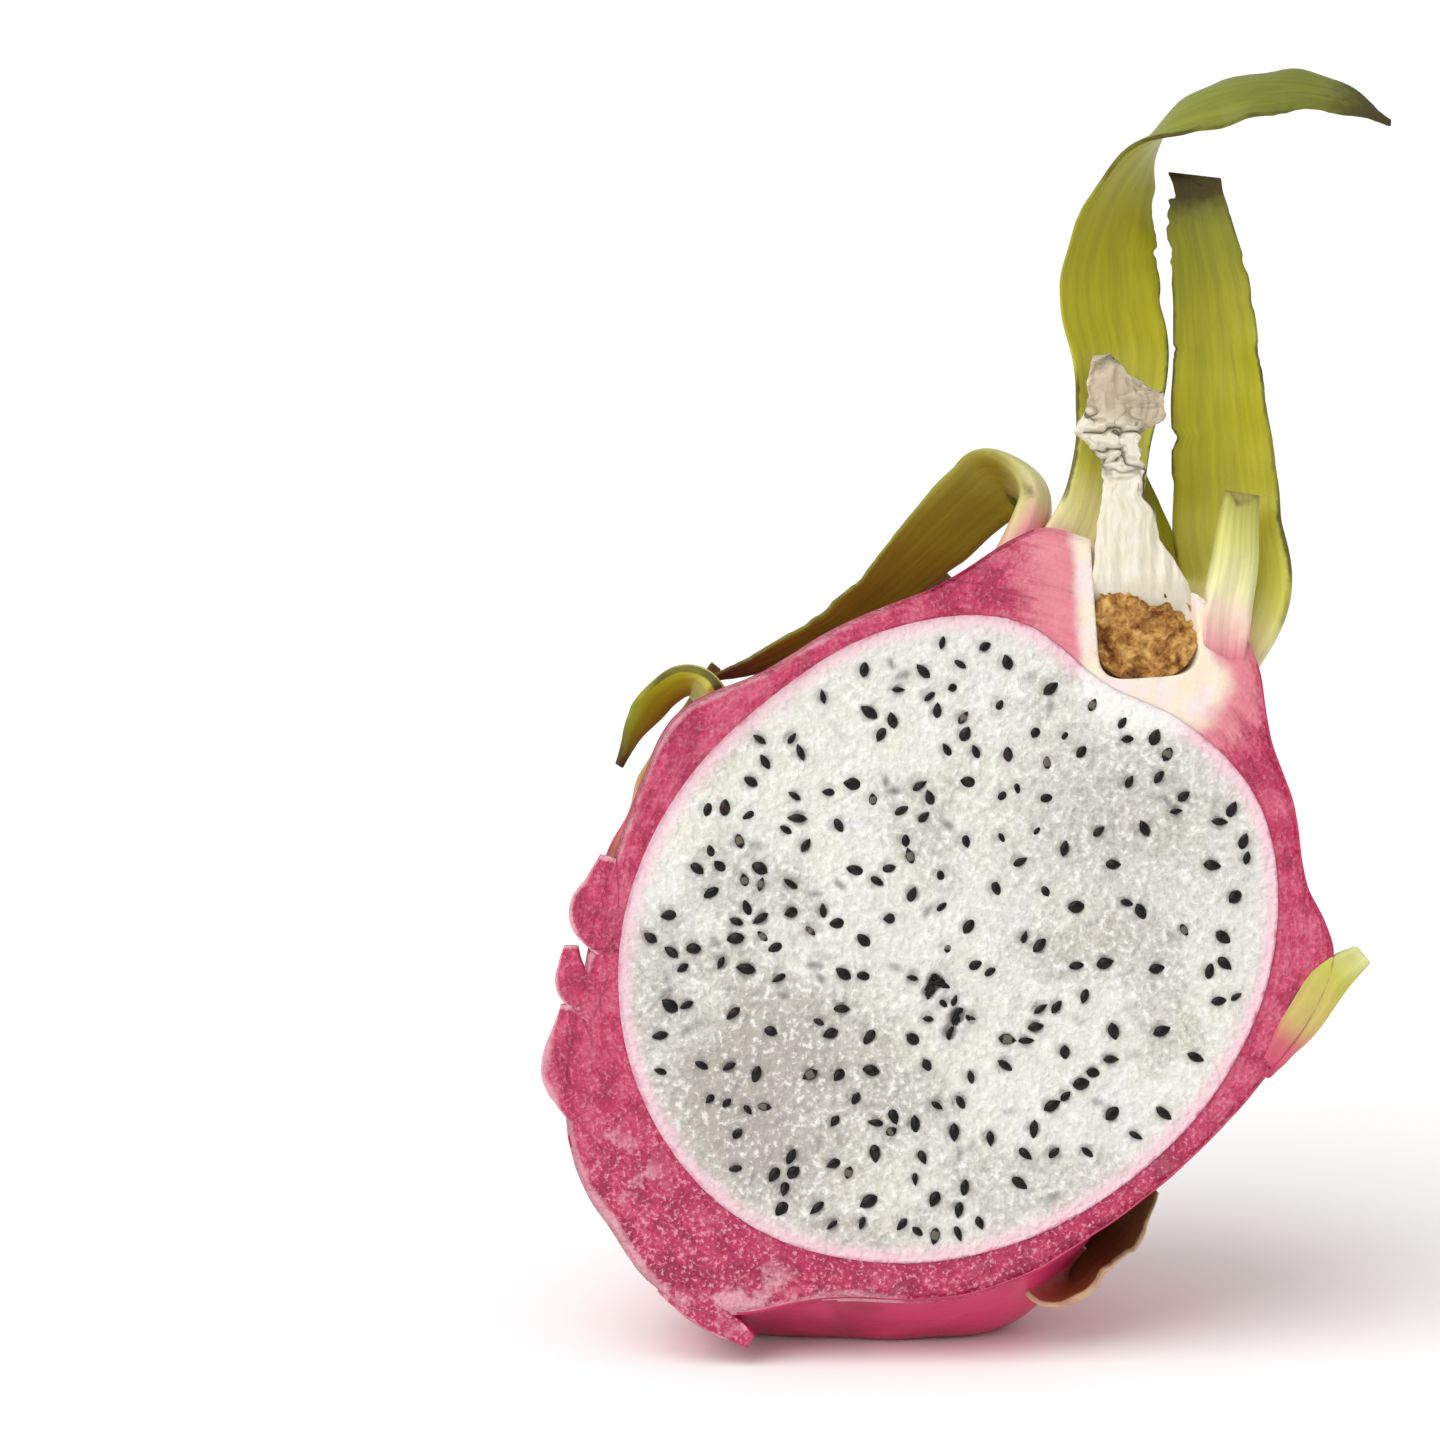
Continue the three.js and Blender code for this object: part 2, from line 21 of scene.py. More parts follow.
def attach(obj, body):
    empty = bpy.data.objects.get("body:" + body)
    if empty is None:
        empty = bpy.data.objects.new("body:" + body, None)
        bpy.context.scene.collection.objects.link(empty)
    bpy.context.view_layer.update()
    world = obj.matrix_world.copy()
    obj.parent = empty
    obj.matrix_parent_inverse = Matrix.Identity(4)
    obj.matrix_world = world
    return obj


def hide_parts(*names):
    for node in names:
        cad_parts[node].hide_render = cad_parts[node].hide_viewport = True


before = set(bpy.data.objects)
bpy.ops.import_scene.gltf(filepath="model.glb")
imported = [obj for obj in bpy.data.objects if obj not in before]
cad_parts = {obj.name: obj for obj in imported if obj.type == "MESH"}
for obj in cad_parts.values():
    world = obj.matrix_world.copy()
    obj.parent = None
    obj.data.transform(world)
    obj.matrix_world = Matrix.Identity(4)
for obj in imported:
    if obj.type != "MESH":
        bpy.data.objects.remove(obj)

log = logging.getLogger("dragon_fruit")

MM = 0.001
Point = tuple[float, float, float]
Socket = bpy.types.NodeSocket
Colour = tuple[float, float, float]
WHITE = (1.0, 1.0, 1.0)


# ---- Places on the fruit ----


class CutFrame:
    """The frame of the cut face: its middle and its three directions, in the world."""

    def __init__(self, flesh: bpy.types.Object, lean: float) -> None:
        """Finds the middle of the face from the flesh, whose deepest point lies straight behind it.

        Args:
            flesh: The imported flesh, a flat-faced dome.
            lean: Degrees by which the face leans back from upright.
        """
        tilt = math.radians(lean)
        self.right = np.array((1.0, 0.0, 0.0))
        self.up = np.array((0.0, math.sin(tilt), math.cos(tilt)))
        self.out = np.array((0.0, -math.cos(tilt), math.sin(tilt)))
        points = vertices_of(flesh)
        heights = points @ self.out
        deepest = points[heights.argmin()]
        self.origin = deepest + self.out * (heights.max() - heights.min())
        self.axes = np.stack((self.right, self.up, self.out))

    def world(self, places: np.ndarray) -> np.ndarray:
        """Turns places on the face, in millimetres, into world points in metres."""
        return self.origin + (np.asarray(places) * MM) @ self.axes

    def mould(self, obj: bpy.types.Object, places: np.ndarray) -> None:
        """Moves a piece's vertices to places on the face, none below the ground, and finishes it."""
        points = self.world(places)
        points[:, 2] = np.maximum(points[:, 2], 0.0)
        obj.data.vertices.foreach_set("co", points.ravel())
        obj.data.update()
        finish_mesh(obj)

    def local(self, points: np.ndarray) -> np.ndarray:
        """Turns world points in metres into places on the face in millimetres."""
        return (points - self.origin) @ self.axes.T / MM


def vertices_of(obj: bpy.types.Object) -> np.ndarray:
    """Returns an object's vertices as rows of a new array."""
    flat = np.empty(len(obj.data.vertices) * 3)
    obj.data.vertices.foreach_get("co", flat)
    return flat.reshape(-1, 3)


def direction(turn: np.ndarray | float, back: np.ndarray | float) -> np.ndarray:
    """Returns the unit direction of a turn round the face and an angle back from it."""
    turn, back = np.radians(turn), np.radians(back)
    return columns(np.cos(turn) * np.cos(back), np.sin(turn) * np.cos(back), -np.sin(back))


def columns(*values: np.ndarray | float) -> np.ndarray:
    """Returns rows that hold one number of each array."""
    return np.stack(np.broadcast_arrays(*values), axis=-1)


def unit(vectors: np.ndarray) -> np.ndarray:
    """Returns vectors scaled to length one."""
    return vectors / np.maximum(np.linalg.norm(vectors, axis=-1, keepdims=True), 1e-9)


def round_axis(
    root: np.ndarray, way: np.ndarray, around: np.ndarray, rise: np.ndarray, girth: np.ndarray
) -> np.ndarray:
    """Returns places round an axis.

    Args:
        root: Where the axis starts.
        way: Its direction.
        around: The angle of each place round the axis.
        rise: Its height over the root.
        girth: Its distance from the axis.

    Returns:
        The places.
    """
    aside = unit(np.cross(way, (0.0, 0.0, 1.0)))
    angle = np.radians(around)
    reach = (girth * np.cos(angle))[:, None] * aside + (girth * np.sin(angle))[:, None] * np.cross(aside, way)
    return root + rise[:, None] * way + reach


def hump(x: np.ndarray, spread: float, power: float = 2.0) -> np.ndarray:
    """Returns a smooth hump, one at zero and falling off over a spread."""
    return np.exp(-(np.abs(x / spread) ** power))


def ramp(x: np.ndarray, low: float, high: float) -> np.ndarray:
    """Returns a smooth step from zero at low to one at high."""
    t = np.clip((x - low) / (high - low), 0.0, 1.0)
    return t * t * (3.0 - 2.0 * t)


HASH = np.array((73856093, 19349663, 83492791))
LATTICE = np.random.default_rng(7).uniform(-1.0, 1.0, 65536)


def grain(places: np.ndarray, size: float, octaves: int = 3, shift: float = 0.0) -> np.ndarray:
    """Returns fractal noise at each place, roughly from -1 to 1.

    Args:
        places: Rows of coordinates in millimetres.
        size: Size of the largest features in millimetres.
        octaves: How many finer layers are added.
        shift: Moves the pattern, so that pieces differ.
    """
    total = np.zeros(len(places))
    for octave in range(octaves):
        spot = places * (2.0**octave / size) + shift + 17.3 * octave
        cell = np.floor(spot).astype(np.int64)
        share = spot - cell
        share = share * share * (3.0 - 2.0 * share)
        layer = np.zeros(len(places))
        for corner in np.ndindex(2, 2, 2):
            weight = np.prod(np.where(corner, share, 1.0 - share), axis=1)
            layer += weight * LATTICE[((cell + corner) @ HASH) & (len(LATTICE) - 1)]
        total += layer / 2.0**octave
    return total


class FruitBody:
    """The fruit's own shape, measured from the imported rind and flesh."""

    SPAN = 90.0  # a ray starts this far out, clear of everything
    BORE = (46, 75)  # turns between which the flower's pit breaks the outline near the face
    BORE_BACK = 15  # and how far back it does
    RIND_BACK = 0.7  # rays pass this far behind the cut rim of the rind
    FLESH_BACK = 0.4  # and this far behind that of the flesh

    def __init__(self, cut: CutFrame, peel: bpy.types.Object, flesh: bpy.types.Object) -> None:
        """Measures how far the rind and the flesh reach in every direction from the middle of the face."""
        self.cut = cut
        turns = np.arange(360)
        skin = self._tree(peel)
        self.rind = np.stack([self._reach(skin, turns, max(back, self.RIND_BACK)) for back in range(91)])
        start, end = self.BORE
        inside = turns[start : end + 1]
        for row in self.rind[: self.BORE_BACK]:
            row[inside] = np.interp(inside, (start, end), (row[start], row[end]))
        self.rind = self._smooth(self.rind)
        self.flesh_rim = self._smooth(self._reach(self._tree(flesh), turns, self.FLESH_BACK)[None, :])[0]

    def _tree(self, obj: bpy.types.Object) -> BVHTree:
        """Returns an object's faces as a tree in the frame of the face, for rays to be cast at."""
        corners = [tuple(v) for v in self.cut.local(vertices_of(obj))]
        return BVHTree.FromPolygons(corners, [tuple(p.vertices) for p in obj.data.polygons])

    def _reach(self, tree: BVHTree, turns: np.ndarray, back: float) -> np.ndarray:
        """Returns how far out an object reaches at each turn, for one angle back."""
        reach = np.zeros(len(turns))
        for k, way in enumerate(direction(turns, np.full(len(turns), back))):
            hit = tree.ray_cast(Vector(way * self.SPAN), Vector(-way))[0]
            reach[k] = hit.length if hit else 0.0
        return reach

    @staticmethod
    def _smooth(rows: np.ndarray, passes: int = 2) -> np.ndarray:
        """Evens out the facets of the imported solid, round the face and from front to back."""
        for _ in range(passes):
            rows = (np.roll(rows, 1, 1) + 2.0 * rows + np.roll(rows, -1, 1)) / 4.0
            if len(rows) > 2:
                rows[1:-1] = (rows[:-2] + 2.0 * rows[1:-1] + rows[2:]) / 4.0
        return rows

    def flesh_radius(self, turn: np.ndarray) -> np.ndarray:
        """Returns how far the flesh reaches on the cut face at each turn."""
        return np.interp(np.mod(turn, 360.0), np.arange(361), np.append(self.flesh_rim, self.flesh_rim[0]))

    def rind_radius(self, turn: np.ndarray, back: np.ndarray) -> np.ndarray:
        """Returns how far the rind reaches in each direction."""
        turn, back = np.mod(turn, 360.0), np.clip(back, 0.0, 89.999)
        t0, b0 = turn.astype(int), back.astype(int)
        t1, x, y = (t0 + 1) % 360, turn - t0, back - b0
        near = self.rind[b0, t0] * (1 - x) + self.rind[b0, t1] * x
        far = self.rind[b0 + 1, t0] * (1 - x) + self.rind[b0 + 1, t1] * x
        return near * (1 - y) + far * y

    def on_rind(self, way: np.ndarray, above: float = 0.0) -> np.ndarray:
        """Returns the place on the rind in a direction, or some way above it."""
        way = unit(np.asarray(way, dtype=float))
        turn = np.degrees(np.arctan2(way[1], way[0]))
        back = np.degrees(np.arcsin(np.clip(-way[2], 0.0, 1.0)))
        radius = self.rind_radius(np.array([turn]), np.array([back]))[0]
        return way * (radius + above)


# ---- Mesh tools ----


def deselect() -> None:
    """Leaves nothing selected, so that an operator acts only on what is made next."""
    bpy.ops.object.select_all(action="DESELECT")


def new_ball(name: str, segments: int, rings: int) -> tuple[bpy.types.Object, np.ndarray, np.ndarray]:
    """Adds a ball whose vertices are then moved to a piece's surface.

    Args:
        name: Name of the piece.
        segments: Faces round the ball.
        rings: Faces from pole to pole.

    Returns:
        The object, and for each vertex its angle round the ball in degrees and its share of the way from the
        lower pole to the upper one.
    """
    deselect()
    bpy.ops.mesh.primitive_uv_sphere_add(segments=segments, ring_count=rings, radius=1.0)
    ball = bpy.context.object
    ball.name = ball.data.name = name
    points = vertices_of(ball)
    around = np.mod(np.degrees(np.arctan2(points[:, 1], points[:, 0])), 360.0)
    share = 1.0 - np.arccos(np.clip(points[:, 2], -1.0, 1.0)) / math.pi
    return ball, around, share


def of_faces(obj: bpy.types.Object, name: str) -> np.ndarray:
    """Returns the normal or the center of each of an object's faces."""
    flat = np.empty(len(obj.data.polygons) * 3)
    obj.data.polygons.foreach_get(name, flat)
    return flat.reshape(-1, 3)


def dress_cut_piece(
    obj: bpy.types.Object, skin: bpy.types.Material, cut: bpy.types.Material, is_cut: np.ndarray
) -> None:
    """Gives a piece one finish on its skin and another on the faces that are cut."""
    obj.data.materials.clear()
    obj.data.materials.append(skin)
    obj.data.materials.append(cut)
    obj.data.polygons.foreach_set("material_index", is_cut.astype(np.int32))


def set_values(obj: bpy.types.Object, name: str, values: np.ndarray) -> None:
    """Stores a number on each vertex for the finishes to read."""
    layer = obj.data.attributes.new(name, "FLOAT", "POINT")
    layer.data.foreach_set("value", np.asarray(values, dtype=np.float32))


def set_vectors(obj: bpy.types.Object, name: str, values: np.ndarray) -> None:
    """Stores a vector on each vertex for the finishes to read."""
    layer = obj.data.attributes.new(name, "FLOAT_VECTOR", "POINT")
    layer.data.foreach_set("vector", np.asarray(values, dtype=np.float32).ravel())


def finish_mesh(obj: bpy.types.Object) -> None:
    """Turns all faces outwards and smooths the shading of a piece."""
    deselect()
    bpy.context.view_layer.objects.active = obj
    obj.select_set(True)
    bpy.ops.object.mode_set(mode="EDIT")
    bpy.ops.mesh.select_all(action="SELECT")
    bpy.ops.mesh.normals_make_consistent(inside=False)
    bpy.ops.object.mode_set(mode="OBJECT")
    bpy.ops.object.shade_smooth()


def apply_modifier(obj: bpy.types.Object, kind: str, **settings: Any) -> None:
    """Adds a modifier to a piece and applies it."""
    deselect()
    bpy.context.view_layer.objects.active = obj
    obj.select_set(True)
    modifier = obj.modifiers.new(kind.title(), kind)
    for key, value in settings.items():
        setattr(modifier, key, value)
    bpy.ops.object.modifier_apply(modifier=modifier.name)


def place_piece(
    obj: bpy.types.Object,
    finish: bpy.types.Material | None,
    nodes: Sequence[str] = (),
) -> None:
    """Dresses a piece, hangs it on the fruit and reports it.

    Args:
        obj: The finished mesh.
        finish: Its material, or None if it already has its own.
        nodes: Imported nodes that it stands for.
    """
    if finish:
        obj.data.materials.clear()
        obj.data.materials.append(finish)
    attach(obj, "root")
    if nodes:
        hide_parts(*nodes)
    log.info("%s: %d faces", obj.name, len(obj.data.polygons))


# ---- Shader tools ----


class NodeTree:
    """A shader node tree that is being built, with short methods for the nodes that every finish uses."""

    def __init__(self, tree: bpy.types.NodeTree) -> None:
        """Keeps the tree that nodes are added to."""
        self.tree = tree

    def add(self, kind: str, inputs: dict[str | int, Any] | None = None, **settings: Any) -> bpy.types.Node:
        """Adds a node.

        Args:
            kind: Its type, without the leading ShaderNode.
            inputs: Values or sockets for its inputs, by name or number.
            settings: Its own properties.

        Returns:
            The new node.
        """
        node = self.tree.nodes.new("ShaderNode" + kind)
        for key, value in settings.items():
            setattr(node, key, value)
        self.fill(node, inputs or {})
        return node

    def fill(self, node: bpy.types.Node, inputs: dict[str | int, Any]) -> None:
        """Links a node's inputs to sockets, or sets their values."""
        for key, value in inputs.items():
            socket = node.inputs[key]
            if isinstance(value, Socket):
                self.tree.links.new(value, socket)
            else:
                socket.default_value = (*value, 1.0) if socket.type == "RGBA" else value

    def place(self) -> Socket:
        """Returns the place on the object, in metres."""
        return self.add("TexCoord").outputs["Object"]

    def stored(self, name: str, vector: bool = False) -> Socket:
        """Returns a value or vector that the mesh carries."""
        return self.add("Attribute", attribute_name=name).outputs["Vector" if vector else "Fac"]

    def noise(
        self, where: Socket, scale: Any, detail: float = 3.0, rough: float = 0.5, twist: float = 0.0
    ) -> Socket:
        """Returns soft noise from 0 to 1."""
        inputs = {"Vector": where, "Scale": scale, "Detail": detail, "Roughness": rough, "Distortion": twist}
        return self.add("TexNoise", inputs).outputs["Fac"]

    def cells(self, where: Socket, scale: Any, feature: str = "F1") -> Socket:
        """Returns the distance from the middle of each cell of a random pattern."""
        return self.add("TexVoronoi", {"Vector": where, "Scale": scale}, feature=feature).outputs["Distance"]

    def math(self, operation: str, a: Any, b: Any = 0.0) -> Socket:
        """Returns the result of a sum, product or other operation."""
        return self.add("Math", {0: a, 1: b}, operation=operation).outputs[0]

    def plus(self, a: Any, b: Any) -> Socket:
        """Returns a sum."""
        return self.math("ADD", a, b)

    def times(self, a: Any, b: Any) -> Socket:
        """Returns a product."""
        return self.math("MULTIPLY", a, b)

    def step(self, value: Any, low: float, high: float, start: float = 0.0, end: float = 1.0) -> Socket:
        """Returns a smooth step that goes from start at low to end at high."""
        inputs = {"Value": value, "From Min": low, "From Max": high, "To Min": start, "To Max": end}
        return self.add("MapRange", inputs, interpolation_type="SMOOTHSTEP").outputs["Result"]

    def mix(self, share: Any, a: Any, b: Any, blend: str = "MIX") -> Socket:
        """Returns one colour mixed into another."""
        return self.add("Mix", {0: share, 6: a, 7: b}, data_type="RGBA", blend_type=blend).outputs[2]

    def colours(self, value: Any, stops: Sequence[tuple[float, Colour]]) -> Socket:
        """Returns the colour at a value along a row of colour stops."""
        node = self.add("ValToRGB", {0: value})
        stretch = node.color_ramp.elements
        while len(stretch) < len(stops):
            stretch.new(0.5)
        for element, (position, colour) in zip(stretch, stops):
            element.position = position
            element.color = (*colour, 1.0)
        return node.outputs["Color"]

    def bump(self, height: Socket, strength: float, depth: float) -> Socket:
        """Returns a normal that follows a height, where a height of one stands for a depth in millimetres."""
        inputs = {"Height": height, "Strength": strength, "Distance": depth * MM}
        return self.add("Bump", inputs).outputs["Normal"]


class Effect:
    """A node group that several finishes share."""

    def __init__(self, name: str, inputs: dict[str, str], outputs: dict[str, str]) -> None:
        """Opens a new group with named sockets.

        Args:
            name: The group's name.
            inputs: Its inputs, each a name and Vector or Float.
            outputs: Its outputs, likewise.
        """
        self.group = bpy.data.node_groups.new(name, "ShaderNodeTree")
        for way, sockets in (("INPUT", inputs), ("OUTPUT", outputs)):
            for label, kind in sockets.items():
                self.group.interface.new_socket(name=label, in_out=way, socket_type="NodeSocket" + kind)
        self.nodes = NodeTree(self.group)
        self.start = self.group.nodes.new("NodeGroupInput").outputs
        self.end = self.group.nodes.new("NodeGroupOutput")

    def place_in(self, tree: NodeTree, **inputs: Any) -> bpy.types.NodeOutputs:
        """Places the group in a finish with values of its own and returns its outputs."""
        node = tree.tree.nodes.new("ShaderNodeGroup")
        node.node_tree = self.group
        tree.fill(node, {label.title(): value for label, value in inputs.items()})
        return node.outputs


WARP = 0.6 * MM  # how far juice cells are pulled out of shape
MOTTLE_SHARE = 0.16  # fineness of the mottle as a share of that of the cells


def wet_granules() -> Effect:
    """Builds the juice cells of a cut surface: their relief, a mask for painted highlights (glints) and a soft
    mottle.
    """
    effect = Effect(
        "wet granules",
        {"Vector": "Vector", "Size": "Float"},
        {"Height": "Float", "Glint": "Float", "Grain": "Float", "Mottle": "Float"},
    )
    nodes, start = effect.nodes, effect.start
    scale = nodes.math("DIVIDE", 1.0, start["Size"])
    warp = nodes.add("TexNoise", {"Vector": start["Vector"], "Scale": 500.0, "Detail": 2.0}).outputs["Color"]
    pull = nodes.add("VectorMath", {0: warp, 1: (WARP, WARP, WARP)}, operation="MULTIPLY").outputs[0]
    moved = nodes.add("VectorMath", {0: start["Vector"], 1: pull}, operation="ADD").outputs[0]
    cell = nodes.cells(moved, scale, "SMOOTH_F1")
    fine = nodes.noise(moved, scale, 4.0, 0.65)
    mottle = nodes.noise(start["Vector"], nodes.times(scale, MOTTLE_SHARE), 3.0)
    outputs = {
        "Height": nodes.plus(nodes.times(cell, -0.7), fine),
        # Glint: a mask where the finishes paint highlights into their colour; it also lowers their roughness
        "Glint": nodes.step(fine, 0.53, 0.63),
        "Grain": nodes.plus(fine, nodes.times(cell, 0.1)),
        "Mottle": nodes.step(mottle, 0.35, 0.65),
    }
    nodes.fill(effect.end, outputs)
    return effect


def waxy_pores() -> Effect:
    """Builds the fine pores and the faint unevenness of waxy skin."""
    effect = Effect("waxy pores", {"Vector": "Vector"}, {"Height": "Float", "Tone": "Float"})
    nodes, start = effect.nodes, effect.start
    pores = nodes.cells(start["Vector"], 2200.0)
    uneven = nodes.noise(start["Vector"], 260.0, 4.0, 0.6)
    tone = nodes.noise(start["Vector"], 90.0, 4.0, 0.55)
    nodes.fill(effect.end, {"Height": nodes.plus(nodes.times(pores, 0.25), uneven), "Tone": tone})
    return effect


def dry_margin() -> Effect:
    """Builds the mask of the dry brown margin and tip of a leaf."""
    effect = Effect(
        "dry margin",
        {"Vector": "Vector", "Along": "Float", "Across": "Float", "Edge": "Float", "Tip": "Float"},
        {"Mask": "Float"},
    )
    nodes, start = effect.nodes, effect.start
    wobble = nodes.noise(start["Vector"], 700.0, 4.0, 0.6)
    aside = nodes.math("ABSOLUTE", start["Across"])
    edge = nodes.plus(nodes.math("SUBTRACT", aside, start["Edge"]), nodes.times(wobble, 0.12))
    tip = nodes.plus(nodes.math("SUBTRACT", start["Along"], start["Tip"]), nodes.times(wobble, 0.1))
    broken = nodes.step(nodes.noise(start["Vector"], 75.0, 3.0, 0.6), 0.42, 0.6, 0.12, 1.0)
    at_edge = nodes.times(nodes.step(edge, 0.04, 0.12), broken)
    nodes.fill(effect.end, {"Mask": nodes.math("MAXIMUM", at_edge, nodes.step(tip, 0.03, 0.12))})
    return effect


# ---- Finishes ----


def new_finish(name: str) -> tuple[bpy.types.Material, NodeTree, bpy.types.Node]:
    """Opens a new material.

    Args:
        name: The finish's name.

    Returns:
        The material, its node tree and its Principled shader.
    """
    material = bpy.data.materials.new(name)
    material.use_nodes = True
    shader = material.node_tree.nodes["Principled BSDF"]
    return material, NodeTree(material.node_tree), shader


def glow(weight: float, radius: Point, scale: float) -> dict[str, Any]:
    """Returns a shader's inputs for light that goes a little way in, with its scale in millimetres."""
    return {"Subsurface Weight": weight, "Subsurface Radius": radius, "Subsurface Scale": scale * MM}


@dataclass(frozen=True)
class CutRind:
    """The wet, deep pink section of the rind, paler at its outer edge and cream around the flower's pit."""

    deep: Colour = (0.36, 0.005, 0.06)
    pink: Colour = (0.60, 0.028, 0.115)
    light: Colour = (0.72, 0.12, 0.22)
    # painted highlight colour, mixed in where the juice cells glint
    painted_glint: Colour = (0.88, 0.38, 0.48)
    vivid: Colour = (0.50, 0.006, 0.10)
    soft: Colour = (0.74, 0.27, 0.31)
    pale: Colour = (0.86, 0.44, 0.50)
    cream: Colour = (0.86, 0.74, 0.56)
    milk: Colour = (0.86, 0.72, 0.70)
    brown: Colour = (0.30, 0.12, 0.06)
    cell: float = 0.52  # size of the juice cells
    streak: float = 260.0  # fineness of the fibres that follow the rim

    def build(self, granules: Effect) -> bpy.types.Material:
        """Builds the material."""
        material, nodes, shader = new_finish("cut rind")
        where = nodes.place()
        cells = granules.place_in(nodes, vector=where, size=self.cell * MM)
        across, low = nodes.stored("across"), nodes.stored("low")
        fibre = nodes.noise(nodes.stored("flow", vector=True), 1.0, 4.0, 0.65)
        tone = nodes.plus(nodes.times(fibre, 0.68), nodes.times(cells["Mottle"], 0.3))
        # darker towards the bottom of the face
        colour = nodes.colours(
            nodes.plus(tone, nodes.times(low, -0.1)),
            ((0.24, self.deep), (0.46, self.pink), (0.72, self.light)),
        )
        # more dark grains and glints towards the bottom of the face
        wet = nodes.plus(nodes.times(low, 0.6), 0.4)
        dark = nodes.times(nodes.step(cells["Grain"], 0.40, 0.55, 1.0, 0.0), wet)
        colour = nodes.mix(nodes.times(dark, 0.75), colour, self.deep)
        inner = nodes.step(across, 0.0, 0.12, 1.0, 0.0)
        colour = nodes.mix(nodes.times(inner, 0.35), colour, self.pink)
        # a deeper magenta at the inner edge towards the bottom of the face
        low_inner_deepening = nodes.times(nodes.step(across, 0.1, 0.7, 0.5, 0.0), low)
        colour = nodes.mix(low_inner_deepening, colour, self.vivid)
        # painted highlight: bright specks on the juice cells, stronger towards the bottom of the face
        painted_glint = nodes.times(cells["Glint"], wet)
        colour = nodes.mix(nodes.times(painted_glint, 0.75), colour, self.painted_glint)
        shoulder = nodes.stored("shoulder")
        washed = nodes.plus(shoulder, nodes.times(nodes.math("SUBTRACT", fibre, 0.5), 1.2))
        colour = nodes.mix(nodes.step(washed, 0.1, 1.1, 0.0, 0.8), colour, self.soft)
        margin = nodes.stored("margin")
        border = nodes.plus(margin, nodes.times(nodes.noise(where, 420.0, 4.0, 0.6), 0.9))
        colour = nodes.mix(nodes.step(border, 1.0, 1.45, 0.0, 0.85), colour, self.pale)
        patch = nodes.step(nodes.noise(where, 190.0, 4.0, 0.6), 0.54, 0.66)
        patch = nodes.times(patch, nodes.stored("fibrous"))
        colour = nodes.mix(nodes.times(patch, 0.8), colour, self.pale)
        fleck = nodes.times(nodes.step(border, 1.5, 1.62), nodes.step(fibre, 0.5, 0.6))
        colour = nodes.mix(nodes.times(fleck, 0.6), colour, self.brown)
        bleached = nodes.stored("pale")
        ragged = nodes.plus(bleached, nodes.times(nodes.noise(where, 300.0, 4.0, 0.6), 0.5))
        milky = nodes.step(nodes.noise(where, 240.0, 4.0, 0.6), 0.4, 0.62)
        bleach = nodes.mix(milky, self.cream, self.milk)
        colour = nodes.mix(nodes.step(ragged, 0.5, 0.98), colour, bleach)
        height = nodes.plus(cells["Height"], nodes.times(fibre, 0.8))
        smooth = nodes.math("MAXIMUM", bleached, nodes.times(shoulder, 0.7))
        calm = nodes.step(smooth, 0.1, 0.8, 1.0, 0.15)
        inputs = {
            "Base Color": colour,
            "Roughness": nodes.step(cells["Glint"], 0.0, 1.0, 0.45, 0.2),
            "Normal": nodes.bump(nodes.times(height, calm), 1.0, 0.5),
            "Coat Weight": 0.3,
            "Coat Roughness": 0.15,
        }
        nodes.fill(shader, inputs | glow(0.2, (1.0, 0.25, 0.3), 0.9))
        return material


@dataclass(frozen=True)
class WaxySkin:
    """The outer skin: bright pink with a soft sheen, paler and greener where it runs into a leaf."""

    deep: Colour = (0.38, 0.004, 0.06)
    pink: Colour = (0.60, 0.018, 0.115)
    light: Colour = (0.76, 0.11, 0.23)
    cream: Colour = (0.80, 0.60, 0.38)

    def build(self, pores: Effect) -> bpy.types.Material:
        """Builds the material."""
        material, nodes, shader = new_finish("waxy skin")
        where = nodes.place()
        wax = pores.place_in(nodes, vector=where)
        colour = nodes.mix(nodes.step(wax["Tone"], 0.35, 0.65), self.deep, self.pink)
        veins = nodes.step(nodes.noise(where, 45.0, 3.0, 0.5, 1.2), 0.5, 0.72)
        colour = nodes.mix(nodes.times(veins, 0.4), colour, self.light)
        colour = nodes.mix(nodes.times(nodes.stored("swell"), 0.35), colour, self.light)
        colour = nodes.mix(nodes.step(nodes.stored("pale"), 0.45, 1.1), colour, self.cream)
        inputs = {
            "Base Color": colour,
            "Roughness": 0.38,
            "Normal": nodes.bump(wax["Height"], 0.35, 0.25),
            "Coat Weight": 0.2,
            "Coat Roughness": 0.25,
        }
        nodes.fill(shader, inputs | glow(0.12, (1.0, 0.2, 0.25), 1.0))
        return material


